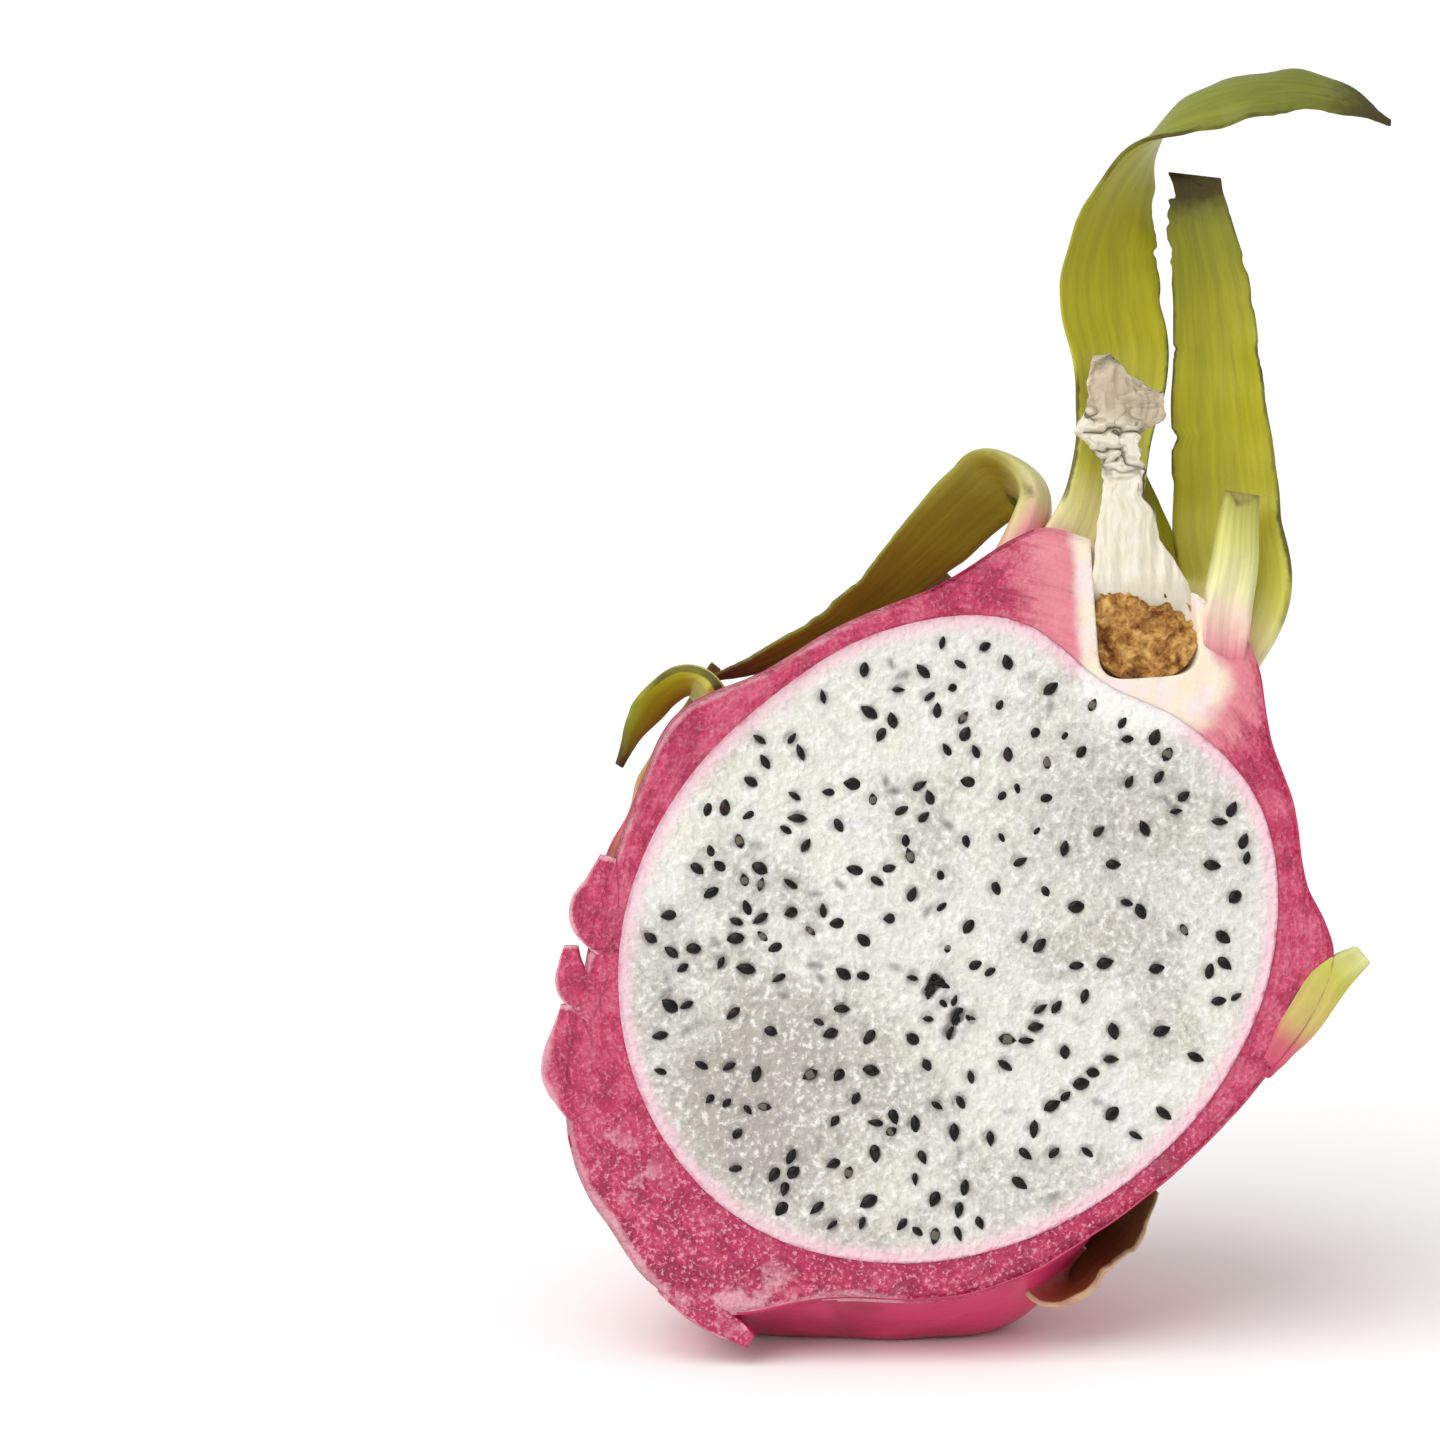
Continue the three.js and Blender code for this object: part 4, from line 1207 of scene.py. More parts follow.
@dataclass(frozen=True)
class Strap:
    """A leaf-like strap that grows out of the rind along a smooth spine."""

    name: str
    seat: tuple[float, float]  # turn and angle back of its root
    reach: tuple[Point, ...]  # its spine, as offsets from the seat
    shape: tuple[Point, ...]  # half width, thickness and cup from the root to the tip
    facing: tuple[Point, ...]  # the way its outer side faces, from the root to the tip
    start: Point | None = None  # where the spine starts under the rind
    ragged: float = 0.0  # how deep its margin is torn
    spared: float = 1.0  # share of that on its other margin
    wave: float = 0.35  # how far its margin waves
    torn_tip: float = 0.0  # length of the torn end
    crease: float = 0.0  # depth of the groove along its middle
    sliced: bool = False  # whether the knife went through it
    lap: float = 0.9  # how far its flat face runs on over the rim
    proud: float = 0.16  # height of its flat face over the cut surface
    sink: float = 3.4  # how far below the rind its spine starts, unless start says where
    rows: int = 150
    around: int = 40

    def build(self, cup: RindCup) -> bpy.types.Object:
        """Moulds the strap from a ball."""
        body = cup.body
        leaf, turn, share = new_ball(self.name, self.around, self.rows)
        rng = np.random.default_rng(sum(map(ord, self.name)))
        way = direction(*self.seat)
        root = body.on_rind(way)
        below = np.array(self.start) if self.start is not None else -way * self.sink
        spine = smooth_path(np.vstack((root + below, root + np.array(self.reach))))
        angle = np.radians(turn)
        across, side = np.cos(angle), np.sin(angle)
        along = np.clip(share, 0.0, 1.0)
        middle, ahead = spine(along)
        shape = spread(np.array(self.shape), along)
        out = spread(np.array(self.facing), along)
        out = unit(out - (out * ahead).sum(1)[:, None] * ahead)
        aside = np.cross(ahead, out)
        half, thick, curl = shape.T
        length = np.linalg.norm(np.diff(spine(np.linspace(0, 1, 60))[0], axis=0), axis=1).sum()
        run = along * length
        phase = rng.uniform(0.0, 6.28, 6)
        right = across > 0
        ripple = np.where(
            right,
            np.sin(run / 3.1 + phase[0]) + 0.6 * np.sin(run / 1.3 + phase[1]),
            np.sin(run / 3.7 + phase[2]) + 0.6 * np.sin(run / 1.1 + phase[3]),
        )
        rim_line = columns(run, 20.0 * right + phase[4], 0.0)
        tatter = np.maximum(grain(rim_line, 2.6, 3), 0.0) * (1.0 + ramp(grain(rim_line, 12.0, 1), 0.0, 0.5))
        half = half - self.ragged * tatter * ramp(along, 0.3, 0.55) * np.where(right, 1.0, self.spared)
        thin = np.sign(side) * np.abs(side) ** 0.7
        lift = curl * across**2
        lift += self.wave * ripple * across**2 * ramp(along, 0.12, 0.4) * np.minimum(half / 4.0, 1.0)
        lift += thin * thick / 2.0 - self.crease * hump(across, 0.35)
        places = middle + aside * (across * half)[:, None] + out * lift[:, None]
        if self.torn_tip:
            teeth = grain(columns(across * half, phase[1], 0.0), 1.8, 3)
            places -= ahead * (self.torn_tip * (0.5 + 1.1 * teeth) * ramp(along, 0.9, 1.0))[:, None]
        uneven = grain(places, 7.0, 2, phase[0]) * 0.22 * ramp(along, 0.1, 0.3)
        places += out * uneven[:, None]
        in_plane = np.linalg.norm(places[:, :2], axis=1)
        turned = np.degrees(np.arctan2(places[:, 1], places[:, 0]))
        inside = body.rind_radius(turned, np.zeros(len(turned))) - in_plane
        if self.sliced:
            limit = cut_relief(places) + self.proud - 0.5 * ramp(inside, self.lap, self.lap + 2.0)
            limit -= 1.2 * (1.0 - ramp(along, 0.0, 0.14))
        else:
            limit = -1.0 + 6.0 * ramp(-inside, 0.0, 4.0)
        places[:, 2] = np.minimum(places[:, 2], limit)
        body.cut.mould(leaf, places)
        if self.sliced:
            store_cut_values(leaf, cup, places, np.maximum(ramp(side, 0.4, 1.0), ramp(along, 0.86, 1.0)))
        set_values(leaf, "along", along)
        set_values(leaf, "across", across)
        set_values(leaf, "side", side)
        set_vectors(leaf, "fibre", columns(across * 5.0 + phase[0], side * 0.6, run * 0.06))
        return leaf


def spread(rows: np.ndarray, share: np.ndarray) -> np.ndarray:
    """Returns rows of numbers interpolated smoothly, with the rows spaced evenly from 0 to 1."""
    stops = np.linspace(0.0, 1.0, len(rows))
    fine = np.linspace(0.0, 1.0, 241)
    table = np.stack([np.interp(fine, stops, column) for column in rows.T], axis=1)
    kernel = np.hanning(2 * (240 // max(len(rows) - 1, 1) // 2) + 1)
    kernel /= kernel.sum()
    pad = len(kernel) // 2
    padded = np.vstack((np.repeat(table[:1], pad, 0), table, np.repeat(table[-1:], pad, 0)))
    table = np.stack([np.convolve(column, kernel, "valid") for column in padded.T], axis=1)
    return np.stack([np.interp(share, fine, column) for column in table.T], axis=1)


def smooth_path(points: np.ndarray) -> Callable[[np.ndarray], tuple[np.ndarray, np.ndarray]]:
    """Returns a smooth curve through points.

    Args:
        points: Points that the curve goes through.

    Returns:
        A function from shares of the curve's length to places and directions on it.
    """
    ends = np.vstack((2 * points[0] - points[1], points, 2 * points[-1] - points[-2]))
    samples = []
    for k in range(1, len(ends) - 2):
        t = np.linspace(0.0, 1.0, 24, endpoint=False)[:, None]
        p0, p1, p2, p3 = ends[k - 1 : k + 3]
        curve = 2 * p1 + (p2 - p0) * t + (2 * p0 - 5 * p1 + 4 * p2 - p3) * t**2
        samples.append(0.5 * (curve + (3 * p1 - p0 - 3 * p2 + p3) * t**3))
    path = np.vstack((*samples, points[-1:]))
    steps = np.linalg.norm(np.diff(path, axis=0), axis=1)
    travelled = np.concatenate(([0.0], np.cumsum(steps))) / steps.sum()

    def at(share: np.ndarray) -> tuple[np.ndarray, np.ndarray]:
        """Returns places and directions at shares of the length."""
        place = np.stack([np.interp(share, travelled, column) for column in path.T], axis=1)
        low, high = np.clip(share - 0.012, 0, 1), np.clip(share + 0.012, 0, 1)
        ahead = [np.interp(high, travelled, c) - np.interp(low, travelled, c) for c in path.T]
        return place, unit(np.stack(ahead, axis=1))

    return at


BEHIND = (0.0, 0.0, -1.0)
LEFTWARDS = (-1.0, 0.1, 0.0)

BRACTS = (
    Strap(
        name="bract_tall_hook_leaf",
        seat=(70, 7),
        reach=((2.4, 4.9, -0.4), (3.9, 13, -1.2), (4.6, 23.3, -2.2), (3.4, 30.4, -2.6),
               (3.6, 38.6, -2.6), (6.2, 45.6, -2.1), (10.8, 51.4, -1.6), (17.6, 54.9, -0.6),
               (25.6, 55.7, 0), (32.3, 54.5, 0.4), (37.9, 51.5, 0.8)),
        shape=((6, 3.6, -0.6), (5, 2.8, -0.8), (4.8, 2, -1), (6.6, 1.6, -1.4), (7.2, 1.5, -1.6),
               (7, 1.5, -1.4), (6.4, 1.4, -1), (6, 1.3, -0.9), (5.2, 1.2, -0.8), (3.6, 1.1, -0.4),
               (0.4, 0.7, 0)),
        facing=((-0.3, 0, -0.95), (-0.3, 0, -0.95), (-0.35, 0, -0.94), (-0.45, 0.1, -0.88),
                (-0.75, 0.4, -0.5), (-0.4, 0.8, 0.45), (0, 0.7, 0.7), (0.2, 0.75, 0.6)),
        rows=260,
        ragged=0.35,
    ),
    Strap(
        name="bract_tall_torn_leaf",
        seat=(47, 9),
        reach=((2.3, 5.7, 0.1), (1.6, 13.8, -0.7), (1, 23, -1.1), (0.3, 33.2, -1.4),
               (-0.7, 43.4, -1.4), (-2.4, 51.5, -0.9), (-3.3, 58.1, 0.1)),
        shape=((7.2, 3.6, -1), (7.2, 2.8, -1.4), (6.8, 2, -1.8), (6, 1.6, -1.8), (5.2, 1.5, -1.4),
               (4.3, 1.3, -1), (3.3, 1.1, -0.6)),
        facing=((0.45, 0, -0.88), (0.35, 0, -0.92), (0.25, 0, -0.95)),
        rows=260,
        ragged=1.9,
        spared=0.08,
        torn_tip=2.6,
    ),
    Strap(
        name="bract_arch_leaf",
        seat=(78, 9),
        reach=((2, 4.1, -0.4), (1.8, 7.8, -1), (-1.3, 9.3, -2.2), (-4.4, 7.2, -3.4),
               (-8.4, 3.5, -4.4), (-13.2, -1.2, -4.9), (-17.8, -5.6, -4.4), (-22.4, -8.8, -3.4),
               (-27.5, -11.5, -1.9), (-32, -13.6, -0.9), (-37.6, -15.6, 0.1)),
        shape=((5, 6, -0.4), (4.6, 4.6, -0.5), (5, 3.2, -0.6), (5.4, 2.2, -0.7), (5.2, 1.6, -0.8),
               (4.6, 1.4, -0.7), (3.6, 1.3, -0.5), (2.6, 1.2, -0.4), (2, 1, -0.3), (0.5, 0.8, 0)),
        facing=((0.95, 0.1, 0.2), (0.9, 0.3, 0.1), (0.3, 0.8, -0.5), (-0.3, 0.5, -0.8),
                (-0.35, 0.55, -0.75), (-0.4, 0.65, -0.65), (-0.4, 0.7, -0.6)),
        rows=220,
        ragged=0.25,
        wave=0.15,
    ),
    Strap(
        name="bract_neck_back_leaf",
        seat=(59, 17),
        reach=((2.4, 5.1, -1.2), (1.8, 12.4, -1.6), (0.8, 18.5, -0.2)),
        shape=((5, 3, -0.8), (4.6, 2, -0.8), (3, 1.4, -0.6), (0.6, 0.8, -0.2)),
        facing=(BEHIND, BEHIND),
    ),
    Strap(
        name="bract_small_hook_leaf",
        seat=(132, 5),
        reach=((-1.6, 2.2, 0), (-5.9, 0.6, 0), (-8.7, -3.4, 0.4), (-10.9, -8.5, 0.8)),
        shape=((4.6, 3, -0.4), (3.8, 2, -0.4), (2.8, 1.5, -0.3), (0.6, 0.8, 0)),
        facing=((0.4, 1, -0.2), (-0.3, 0.8, -0.5), (-0.7, 0.5, -0.5)),
        ragged=0.2,
    ),
)

SLICED_BRACT = Strap(
    name="bract_sliced_leaf",
    seat=(46, 2),
    start=(-2.3, -5.0, -0.6),
    reach=((-1.7, 2.0, -0.6), (-0.7, 8.0, -0.5), (-0.2, 13.6, -0.3), (0.2, 16.8, 0)),
    shape=((2.6, 8, 0), (3.1, 8.5, 0), (3.0, 6, 0), (2.7, 4, 0), (2.1, 2, 0)),
    facing=(BEHIND, BEHIND),
    sliced=True,
    torn_tip=1.4,
    lap=3.0,
    proud=0.36,
)

RIM_SCALES = (
    Strap(
        name="scale_left_upper_leaf", seat=(178, 2),
        reach=((0.3, 2.5, 0.5), (1.0, 6.1, 0.5), (1.9, 9.7, 0.5)),
        shape=((7, 6, -0.8), (7, 6.4, -0.8), (5, 6.0, -0.4), (3.2, 3.8, 0), (1.0, 2.0, 0)),
        facing=(LEFTWARDS, LEFTWARDS),
        sliced=True, lap=2.2,
    ),
    Strap(
        name="scale_left_mid_leaf", seat=(189, 2),
        reach=((-0.3, 2.4, 0.5), (-0.9, 4.8, 0.5), (-0.9, 7.2, 0.5)),
        shape=((5, 6.4, -0.6), (4.6, 5.6, -0.6), (3.4, 4.4, -0.3), (2.2, 3.0, 0), (0.8, 1.6, 0)),
        facing=(LEFTWARDS, LEFTWARDS),
        sliced=True, lap=2.2,
    ),
    Strap(
        name="scale_left_lower_leaf", seat=(203, 2),
        reach=((0.4, 3.9, 0.7), (0.4, 8.3, 0.7), (0.6, 12.1, 0.7)),
        shape=((10, 7.4, -1.4), (9, 6.6, -1.2), (6.4, 5.2, -0.6), (2.4, 2.4, 0)),
        facing=(LEFTWARDS, LEFTWARDS),
        sliced=True, lap=2.2,
    ),
    Strap(
        name="scale_bottom_tip_leaf", seat=(236, 2), start=(-3.6, 3.0, -0.2),
        reach=((2.2, -0.9, 0), (5.0, -2.6, -0.1), (8.0, -4.4, -0.3)),
        shape=((6, 2.4, 0), (5, 3.6, 0), (4, 3.4, 0), (1.6, 1.8, 0)),
        facing=((-0.5, -0.85, 0), (-0.5, -0.85, 0)),
        sliced=True, torn_tip=1.0, lap=1.6,
    ),
    Strap(
        name="scale_right_tip_leaf", seat=(346, 2), start=(-3.6, -4.4, -0.4),
        reach=((1.7, 3.4, 0.4), (4.4, 6.8, 0.3), (8.6, 10.2, 0.2)),
        shape=((5, 1.8, -0.4), (7, 4.2, -0.8), (5.4, 5.4, -0.6), (2.4, 2.6, 0)),
        facing=((0.9, -0.5, 0), (0.8, -0.6, 0)), sliced=True, torn_tip=0.8, lap=2.6,
    ),
    Strap(
        name="scale_lower_right_leaf", seat=(289, 12),
        reach=((2, 0.4, 1), (5.4, 3.2, 1), (9.2, 6.9, 1), (12.8, 12, 1)),
        shape=((4.4, 3.0, -0.6), (5.2, 2.2, -0.9), (5.2, 1.6, -0.6), (3.6, 1.3, -0.2),
               (0.8, 0.8, 0)),
        facing=((0.4, -0.85, -0.35), (0.6, -0.65, -0.45)), ragged=0.5, sink=5.0,
    ),
)


@dataclass(frozen=True)
class BackScale:
    """A scale on the back of the fruit, which grows out of a swelling of the skin towards the flower end."""

    name: str
    from_flower: float  # angle of its seat from the flower end
    around: float  # angle round the fruit, 0 at the back and positive towards the left of the face
    length: float
    half: float
    lift: float
    flower_turn: float = 60.0
    swell: float = 1.9  # height of the swelling at its root

    def way(self, angle: float) -> np.ndarray:
        """Returns the direction at an angle from the flower end, on this scale's own line."""
        left = direction(self.flower_turn + 90.0, 0.0)
        turn = math.radians(self.around)
        aside = np.array((0.0, 0.0, -math.cos(turn))) + left * math.sin(turn)
        slant = math.radians(angle)
        return direction(self.flower_turn, 0.0) * math.cos(slant) + aside * math.sin(slant)

    def swelling(self) -> Swelling:
        """Returns the swelling of the skin that the scale grows from."""
        here = self.way(self.from_flower)
        ahead = self.way(self.from_flower - 4.0) - here
        return Swelling(here, unit(ahead), self.half * 1.05, self.swell)

    def strap(self, body: FruitBody) -> Strap:
        """Returns the scale as a strap that leaves the rind at a slant."""
        here = self.way(self.from_flower)
        root = body.on_rind(here)
        turned = math.degrees(self.length / np.linalg.norm(root))
        reach = []
        for share in (0.0, 0.25, 0.5, 0.75, 1.0):
            way = self.way(max(self.from_flower - turned * share, 3.0))
            reach.append(tuple(body.on_rind(way, 0.9 + self.lift * share**2.2) - root))
        start = tuple(body.on_rind(self.way(self.from_flower + 11.0), -2.2) - root)
        wrap = -(self.half**2) / 84.0
        half = self.half
        return Strap(
            name=self.name + "_leaf",
            seat=(
                math.degrees(math.atan2(here[1], here[0])),
                math.degrees(math.asin(-here[2])),
            ),
            start=start,
            reach=tuple(reach),
            shape=(
                (half * 0.8, 3.6, wrap * 1.2), (half * 1.02, 3.8, wrap * 1.2),
                (half * 0.88, 3.0, wrap * 0.7), (half * 0.56, 2.1, 0.0), (half * 0.3, 1.5, 0.4),
                (half * 0.07, 0.7, 0.2),
            ),
            facing=(tuple(here), tuple(self.way(self.from_flower - turned))),
            wave=0.5,
            ragged=0.2,
            crease=0.35,
            rows=110,
            around=44,
        )


BACK_SCALES = (
    BackScale("scale_back_foot", 137, -16, 27, 13, 6),
    BackScale("scale_back_stem", 150, 44, 22, 11, 5),
    BackScale("scale_back_low", 118, 16, 29, 14, 8),
    BackScale("scale_back_low_right", 110, -50, 28, 13, 8),
    BackScale("scale_back_low_left", 108, 58, 27, 12, 8),
    BackScale("scale_back_middle", 88, -17, 31, 14, 10),
    BackScale("scale_back_middle_left", 82, 34, 30, 12, 10),
    BackScale("scale_back_right", 72, -56, 25, 11, 4),
    BackScale("scale_back_upper_left", 62, 56, 22, 9, 5),
    BackScale("scale_back_upper", 57, 8, 31, 12, 12),
    BackScale("scale_back_upper_right", 46, -36, 26, 9, 11),
)


# ---- The flower end and the stem end ----


@dataclass
class FlowerRemains:
    """The brown pad in the pit and the dried tube of the flower that stands on it."""

    cup: RindCup
    pad_height: float = 11.4
    tube_height: float = 32.4
    tube_half: float = 5.8
    tube_foot: float = 6.2  # above the pit's floor, hidden behind the pad
    tube_slant: float = 4.4  # drop of its torn end from left to right
    outline: tuple[Point, ...] = (  # share of the height, then shift to the right and half width over tube_half
        (0.0, 0.0, 1.2), (0.1, -0.1, 1.18), (0.16, -0.16, 1.08), (0.22, -0.25, 0.9),
        (0.32, -0.36, 0.68), (0.42, -0.42, 0.54), (0.5, -0.48, 0.44), (0.56, -0.54, 0.4),
        (0.62, -0.6, 0.44), (0.68, -0.7, 0.56), (0.74, -0.74, 0.64), (0.79, -0.64, 0.66),
        (0.84, -0.48, 0.74), (0.9, -0.4, 0.8), (0.994, -0.42, 0.76), (1.0, -0.42, 0.0),
    )

    def build_pad(self) -> bpy.types.Object:
        """Moulds the crumbly pad from a ball."""
        pad, around, share = new_ball("flower_pad", 160, 130)
        girth = (self.cup.pit_radius + 0.1) * np.sin(np.pi * share) ** 0.32
        places = round_axis(*self.cup.pit_axis(), around, self.pad_height * share - 0.2, girth)
        front = ramp(places[:, 2], -2.0, 0.3)
        places[:, 2] = np.minimum(places[:, 2], -0.5)
        crumbs = grain(places, 3.4, 4) * 1.2 + np.abs(grain(places, 1.3, 3, 4.0)) * 0.8
        top = ramp(share, 0.62, 0.95)
        places[:, 2] += (crumbs - 0.9 - 0.3 * top) * front
        rough = grain(places, 2.2, 3, 2.0) * 0.9 + grain(places, 5.0, 1, 6.0) * 1.6
        places[:, 1] += rough * top * front
        places[:, 2] = np.minimum(places[:, 2], 0.2)
        self.cup.body.cut.mould(pad, places)
        return pad

    def build_tube(self) -> bpy.types.Object:
        """Moulds the crumpled half tube from a ball."""
        tube, around, share = new_ball("flower_tube_dry", 120, 300)
        floor = self.cup.pit_axis()[0]
        foot = floor + np.array((0.0, self.tube_foot, 0.0))
        rows = np.array(self.outline)
        shift = np.interp(share, rows[:, 0], rows[:, 1]) * self.tube_half
        half = np.interp(share, rows[:, 0], rows[:, 2]) * self.tube_half
        angle = np.radians(around)
        across, deep = np.cos(angle), np.sin(angle)
        crumple = ramp(share, 0.5, 0.62) * (1.0 - 0.75 * ramp(share, 0.76, 0.84))
        flap = ramp(share, 0.78, 0.86)
        wide = half * (1.0 + 0.12 * grain(columns(share * 20.0, across * 2.0, share), 2.5, 3))
        places = columns(
                shift + wide * across,
                share * self.tube_height,
                np.where(deep > 0, 0.14, 0.9 - 0.6 * flap) * wide * deep - 0.7,
            )
        places[:, 1] -= ramp(share, 0.6, 1.0) * (0.5 + 0.5 * across) * self.tube_slant
        places += foot
        streaks = grain(places * (1.9, 0.35, 1.0), 2.0, 3)
        folds = np.abs(grain(places * (0.8, 1.3, 1.0), 2.4, 3, 8.0))
        height = streaks * 0.3 * (1.0 - crumple) + (folds * 2.4 - 0.9) * crumple + streaks * 0.25 * flap
        places[:, 2] += height
        places[:, 0] += grain(places, 2.6, 3, 2.0) * (0.5 + 0.6 * crumple) * ramp(share, 0.3, 0.5)
        places[:, 1] += grain(places, 2.0, 3, 5.0) * 0.7 * ramp(share, 0.9, 1.0)
        places[:, 2] = np.minimum(places[:, 2], 0.35) - 2.4 * (1.0 - ramp(share, 0.02, 0.2))
        self.cup.body.cut.mould(tube, places)
        set_values(tube, "along", share)
        set_values(tube, "across", across)
        # crease: where painted shade darkens the valleys of the crumpled folds
        set_values(tube, "crease", crumple * ramp(folds, 0.22, 0.0))
        set_vectors(tube, "fibre", columns(across * half * 1.3, share * 7.0, 0.0))
        return tube


@dataclass
class StemScar:
    """The corky spot where the fruit was cut from its stem."""

    body: FruitBody
    seat: tuple[float, float] = (229.0, 15.0)
    radius: float = 4.4
    height: float = 2.8
    hollow: float = 0.3  # depth of its middle as a share of the height
    sink: float = 1.5

    def build(self) -> bpy.types.Object:
        """Moulds the spot from a ball, with a rough rim and a hollow middle."""
        scar, around, share = new_ball("stem_cork", 64, 48)
        way = direction(*self.seat)
        girth = self.radius * np.sin(np.pi * share) ** 0.4
        top = self.height * (1.0 - self.hollow * (1.0 - girth / self.radius))
        rise = np.where(share > 0.5, top, -self.sink)
        places = round_axis(self.body.on_rind(way), way, around, rise, girth)
        places = places + way * (grain(places, 1.8, 4) * 0.35)[:, None]
        self.body.cut.mould(scar, places)
        return scar


# ---- Studio ----


class Shade(Enum):
    """Strengths of the studio's lights."""

    SKY = 0.66
    BACKGROUND = 1.05
    SUN = 1.7
    KEY = 0.7


@dataclass
class Studio:
    """The white ground, the soft lights and the camera."""

    cut: CutFrame
    aim: tuple[float, float] = (-26.0, 27.5)  # place on the face that the camera looks at
    distance: float = 480.0
    elevation: float = 9.0
    lens: float = 100.0
    ground_size: float = 12.0

    def build(self) -> None:
        """Builds the ground, the lights and the camera."""
        bpy.context.scene.view_settings.view_transform = "Standard"
        self._ground()
        self._sky()
        sun = self._light("sun", "SUN", (-0.42, -0.36, 0.83), Shade.SUN)
        sun.angle = math.radians(58.0)
        key = self._light("key", "AREA", (-0.50, -0.42, 0.30), Shade.KEY)
        key.size = 0.5
        self._camera()

    def _ground(self) -> None:
        """Adds the white ground."""
        deselect()
        bpy.ops.mesh.primitive_plane_add(size=self.ground_size)
        ground = bpy.context.object
        ground.name = "ground"
        material, nodes, shader = new_finish("white ground")
        tone = nodes.noise(nodes.place(), 4.0, 2.0)
        colour = nodes.mix(tone, (0.97, 0.97, 0.965), (0.98, 0.98, 0.98))
        nodes.fill(shader, {"Base Color": colour, "Roughness": 0.7, "Specular IOR Level": 0.2})
        ground.data.materials.append(material)

    def _sky(self) -> None:
        """Adds the even light from all around, in front of a plain white background."""
        world = bpy.data.worlds.new("studio")
        bpy.context.scene.world = world
        world.use_nodes = True
        nodes = NodeTree(world.node_tree)
        seen = nodes.add("LightPath").outputs["Is Camera Ray"]
        strength = nodes.step(seen, 0.0, 1.0, Shade.SKY.value, Shade.BACKGROUND.value)
        nodes.fill(world.node_tree.nodes["Background"], {"Color": WHITE, "Strength": strength})

    def _light(self, name: str, kind: str, place: Point, shade: Shade) -> bpy.types.Light:
        """Adds a light that looks at the fruit.

        Args:
            name: Its name.
            kind: SUN or AREA.
            place: Where it stands, in metres.
            shade: Its strength.

        Returns:
            The light's data.
        """
        deselect()
        bpy.ops.object.light_add(type=kind, location=place)
        lamp = bpy.context.object
        lamp.name = name
        lamp.data.energy = shade.value
        target = Vector((0.0, 0.0, 0.06))
        lamp.rotation_euler = (target - Vector(place)).to_track_quat("-Z", "Y").to_euler()
        return lamp.data

    def _camera(self) -> None:
        """Adds the camera, in front of the cut face and a little above it."""
        target = Vector(self.cut.world(np.array((*self.aim, 0.0))))
        tilt = math.radians(self.elevation)
        place = target + Vector((0.0, -math.cos(tilt), math.sin(tilt))) * self.distance * MM
        deselect()
        bpy.ops.object.camera_add(location=place)
        camera = bpy.context.object
        camera.rotation_euler = (target - place).to_track_quat("-Z", "Y").to_euler()
        camera.data.lens = self.lens
        camera.data.sensor_width = 36.0
        bpy.context.scene.camera = camera


# ---- The whole fruit ----

BRACT_OUTER = (
    (0.0, (0.74, 0.30, 0.28)), (0.07, (0.80, 0.66, 0.36)), (0.16, (0.56, 0.58, 0.14)),
    (0.4, (0.36, 0.38, 0.03)), (0.62, (0.22, 0.25, 0.015)), (0.9, (0.15, 0.17, 0.015)),
    (1.0, (0.04, 0.04, 0.02)),
)
BRACT_INNER = (
    (0.0, (0.80, 0.60, 0.46)), (0.08, (0.80, 0.76, 0.36)), (0.17, (0.60, 0.58, 0.09)),
    (0.35, (0.42, 0.38, 0.012)), (0.6, (0.34, 0.32, 0.008)), (0.85, (0.22, 0.22, 0.012)),
    (1.0, (0.10, 0.09, 0.02)),
)
ARCH_OUTER = (
    (0.0, (0.66, 0.10, 0.20)), (0.1, (0.76, 0.36, 0.34)), (0.19, (0.74, 0.66, 0.34)),
    (0.3, (0.42, 0.42, 0.08)), (0.7, (0.20, 0.22, 0.02)), (1.0, (0.12, 0.12, 0.03)),
)
# the arch bract's inner side, darker than the bract's with painted shade, as on its shaded underside
ARCH_INNER_SHADED = (
    (0.0, (0.70, 0.40, 0.34)), (0.16, (0.66, 0.60, 0.24)), (0.27, (0.28, 0.23, 0.02)),
    (0.45, (0.27, 0.24, 0.015)), (0.8, (0.21, 0.22, 0.015)), (1.0, (0.12, 0.10, 0.03)),
)
SCALE_OUTER = (
    (0.0, (0.54, 0.022, 0.10)), (0.36, (0.62, 0.05, 0.13)), (0.5, (0.68, 0.24, 0.18)),
    (0.64, (0.44, 0.42, 0.10)), (0.88, (0.24, 0.29, 0.05)), (1.0, (0.10, 0.11, 0.04)),
)
SCALE_INNER = (
    (0.0, (0.60, 0.08, 0.14)), (0.4, (0.60, 0.36, 0.20)), (0.7, (0.36, 0.34, 0.06)),
    (1.0, (0.12, 0.10, 0.03)),
)
SLICED_TONES = (
    (0.0, (0.60, 0.09, 0.17)), (0.13, (0.69, 0.26, 0.29)), (0.32, (0.80, 0.60, 0.48)),
    (0.46, (0.76, 0.73, 0.38)), (0.75, (0.58, 0.57, 0.16)), (1.0, (0.38, 0.36, 0.07)),
)
TIP_TONES = (
    (0.0, (0.60, 0.05, 0.15)), (0.26, (0.60, 0.14, 0.17)), (0.42, (0.56, 0.42, 0.14)),
    (0.75, (0.52, 0.50, 0.09)), (1.0, (0.66, 0.66, 0.30)),
)
SHADED_INNER = (
    (0.0, (0.50, 0.05, 0.10)), (0.25, (0.20, 0.05, 0.02)), (0.6, (0.09, 0.04, 0.012)),
    (1.0, (0.16, 0.12, 0.04)),
)
SHADED_OUTER = ((0.0, (0.58, 0.05, 0.13)), (0.45, (0.66, 0.34, 0.24)), (1.0, (0.46, 0.42, 0.16)))


CUT_FACING = 0.4  # how squarely a scale's face looks out of the cut where the knife went through it


def node_of(leaf: bpy.types.Object) -> str:
    """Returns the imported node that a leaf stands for."""
    return leaf.name.removesuffix("_leaf")


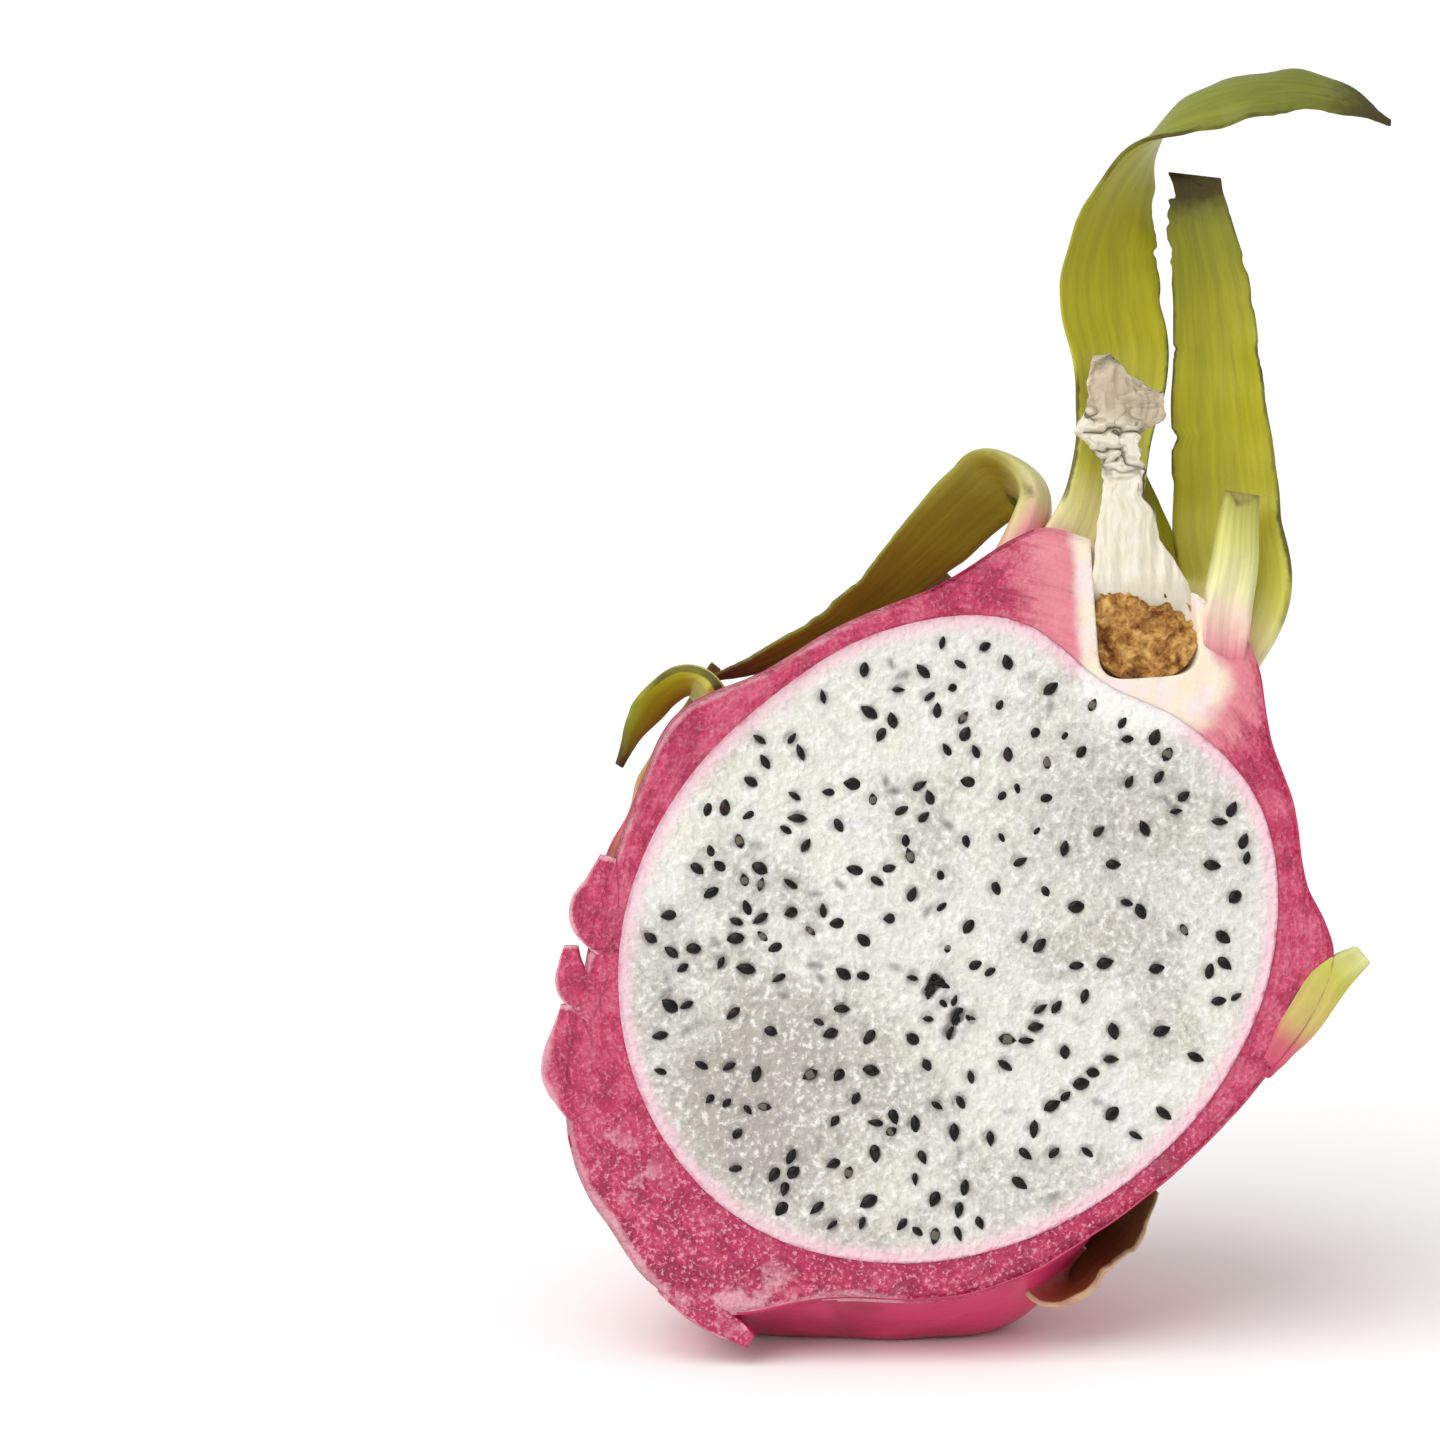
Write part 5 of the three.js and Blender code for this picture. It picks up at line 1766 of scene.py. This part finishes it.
def main() -> None:
    """Builds the fruit piece by piece, then the studio."""
    logging.basicConfig(level=logging.INFO, format="%(message)s")
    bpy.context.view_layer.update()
    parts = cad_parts
    cut = CutFrame(parts["flesh"], lean=8.0)
    body = FruitBody(cut, parts["peel"], parts["flesh"])

    granules, pores, margin = wet_granules(), waxy_pores(), dry_margin()
    skin, cut_rind = WaxySkin().build(pores), CutRind().build(granules)
    cup = RindCup(body, [scale.swelling() for scale in BACK_SCALES])
    cup.dress(cup.build(), skin, cut_rind)

    field_of_seeds = SeedField(body)
    shown, veiled = field_of_seeds.scatter()
    place_piece(FleshCore(body, cup).build(shown, veiled), WhiteFlesh().build(granules), ["flesh"])
    place_piece(field_of_seeds.build(shown), SeedCoat().build())

    remains = FlowerRemains(cup)
    crumbly = DryTissue("flower scar", (0.04, 0.014, 0.003), (0.32, 0.125, 0.018), (0.66, 0.40, 0.12), 2.8, 0.7)
    place_piece(remains.build_pad(), crumbly.build(), ["flower_scar"])
    place_piece(remains.build_tube(), DriedTube().build(), ["flower_tube"])
    cork = DryTissue("stem cork", (0.10, 0.06, 0.03), (0.30, 0.21, 0.12), (0.46, 0.36, 0.22), 1.6, 0.4)
    place_piece(StemScar(body).build(), cork.build(), ["stem_scar"])

    bract = LeafFinish("bract leaf", BRACT_OUTER, BRACT_INNER, brown=(0.06, 0.04, 0.012)).build(margin, pores)
    # the arch bract's finish: a darker copy of the bract's, with painted shade on its inner side
    arch = LeafFinish("arch leaf", ARCH_OUTER, ARCH_INNER_SHADED, edge=0.97).build(margin, pores)
    sliced = LeafFinish("sliced bract", SLICED_TONES, SLICED_TONES, edge=1.2, tip=0.97).build(margin, pores)
    scale = LeafFinish("scale leaf", SCALE_OUTER, SCALE_INNER, edge=0.94).build(margin, pores)
    tip_scale = LeafFinish("tip scale", TIP_TONES, TIP_TONES, edge=1.1, tip=1.0).build(margin, pores)
    shaded = LeafFinish("shaded scale", SHADED_OUTER, SHADED_INNER, brown=(0.62, 0.46, 0.28), edge=0.9, tip=1.2)
    shaded = shaded.build(margin, pores)
    for strap in BRACTS:
        leaf = strap.build(cup)
        place_piece(leaf, arch if "arch" in strap.name else bract, [node_of(leaf)])
    leaf = SLICED_BRACT.build(cup)
    place_piece(leaf, sliced, [node_of(leaf)])
    for strap in RIM_SCALES:
        leaf = strap.build(cup)
        if strap.sliced and "right" not in strap.name:
            dress_cut_piece(leaf, skin, cut_rind, of_faces(leaf, "normal") @ cut.out > CUT_FACING)
            place_piece(leaf, None, [node_of(leaf)])
        else:
            place_piece(leaf, tip_scale if strap.sliced else shaded, [node_of(leaf)])
    for back_scale in BACK_SCALES:
        leaf = back_scale.strap(body).build(cup)
        place_piece(leaf, scale, [node_of(leaf)])

    Studio(cut).build()


if __name__ == "__main__":
    main()
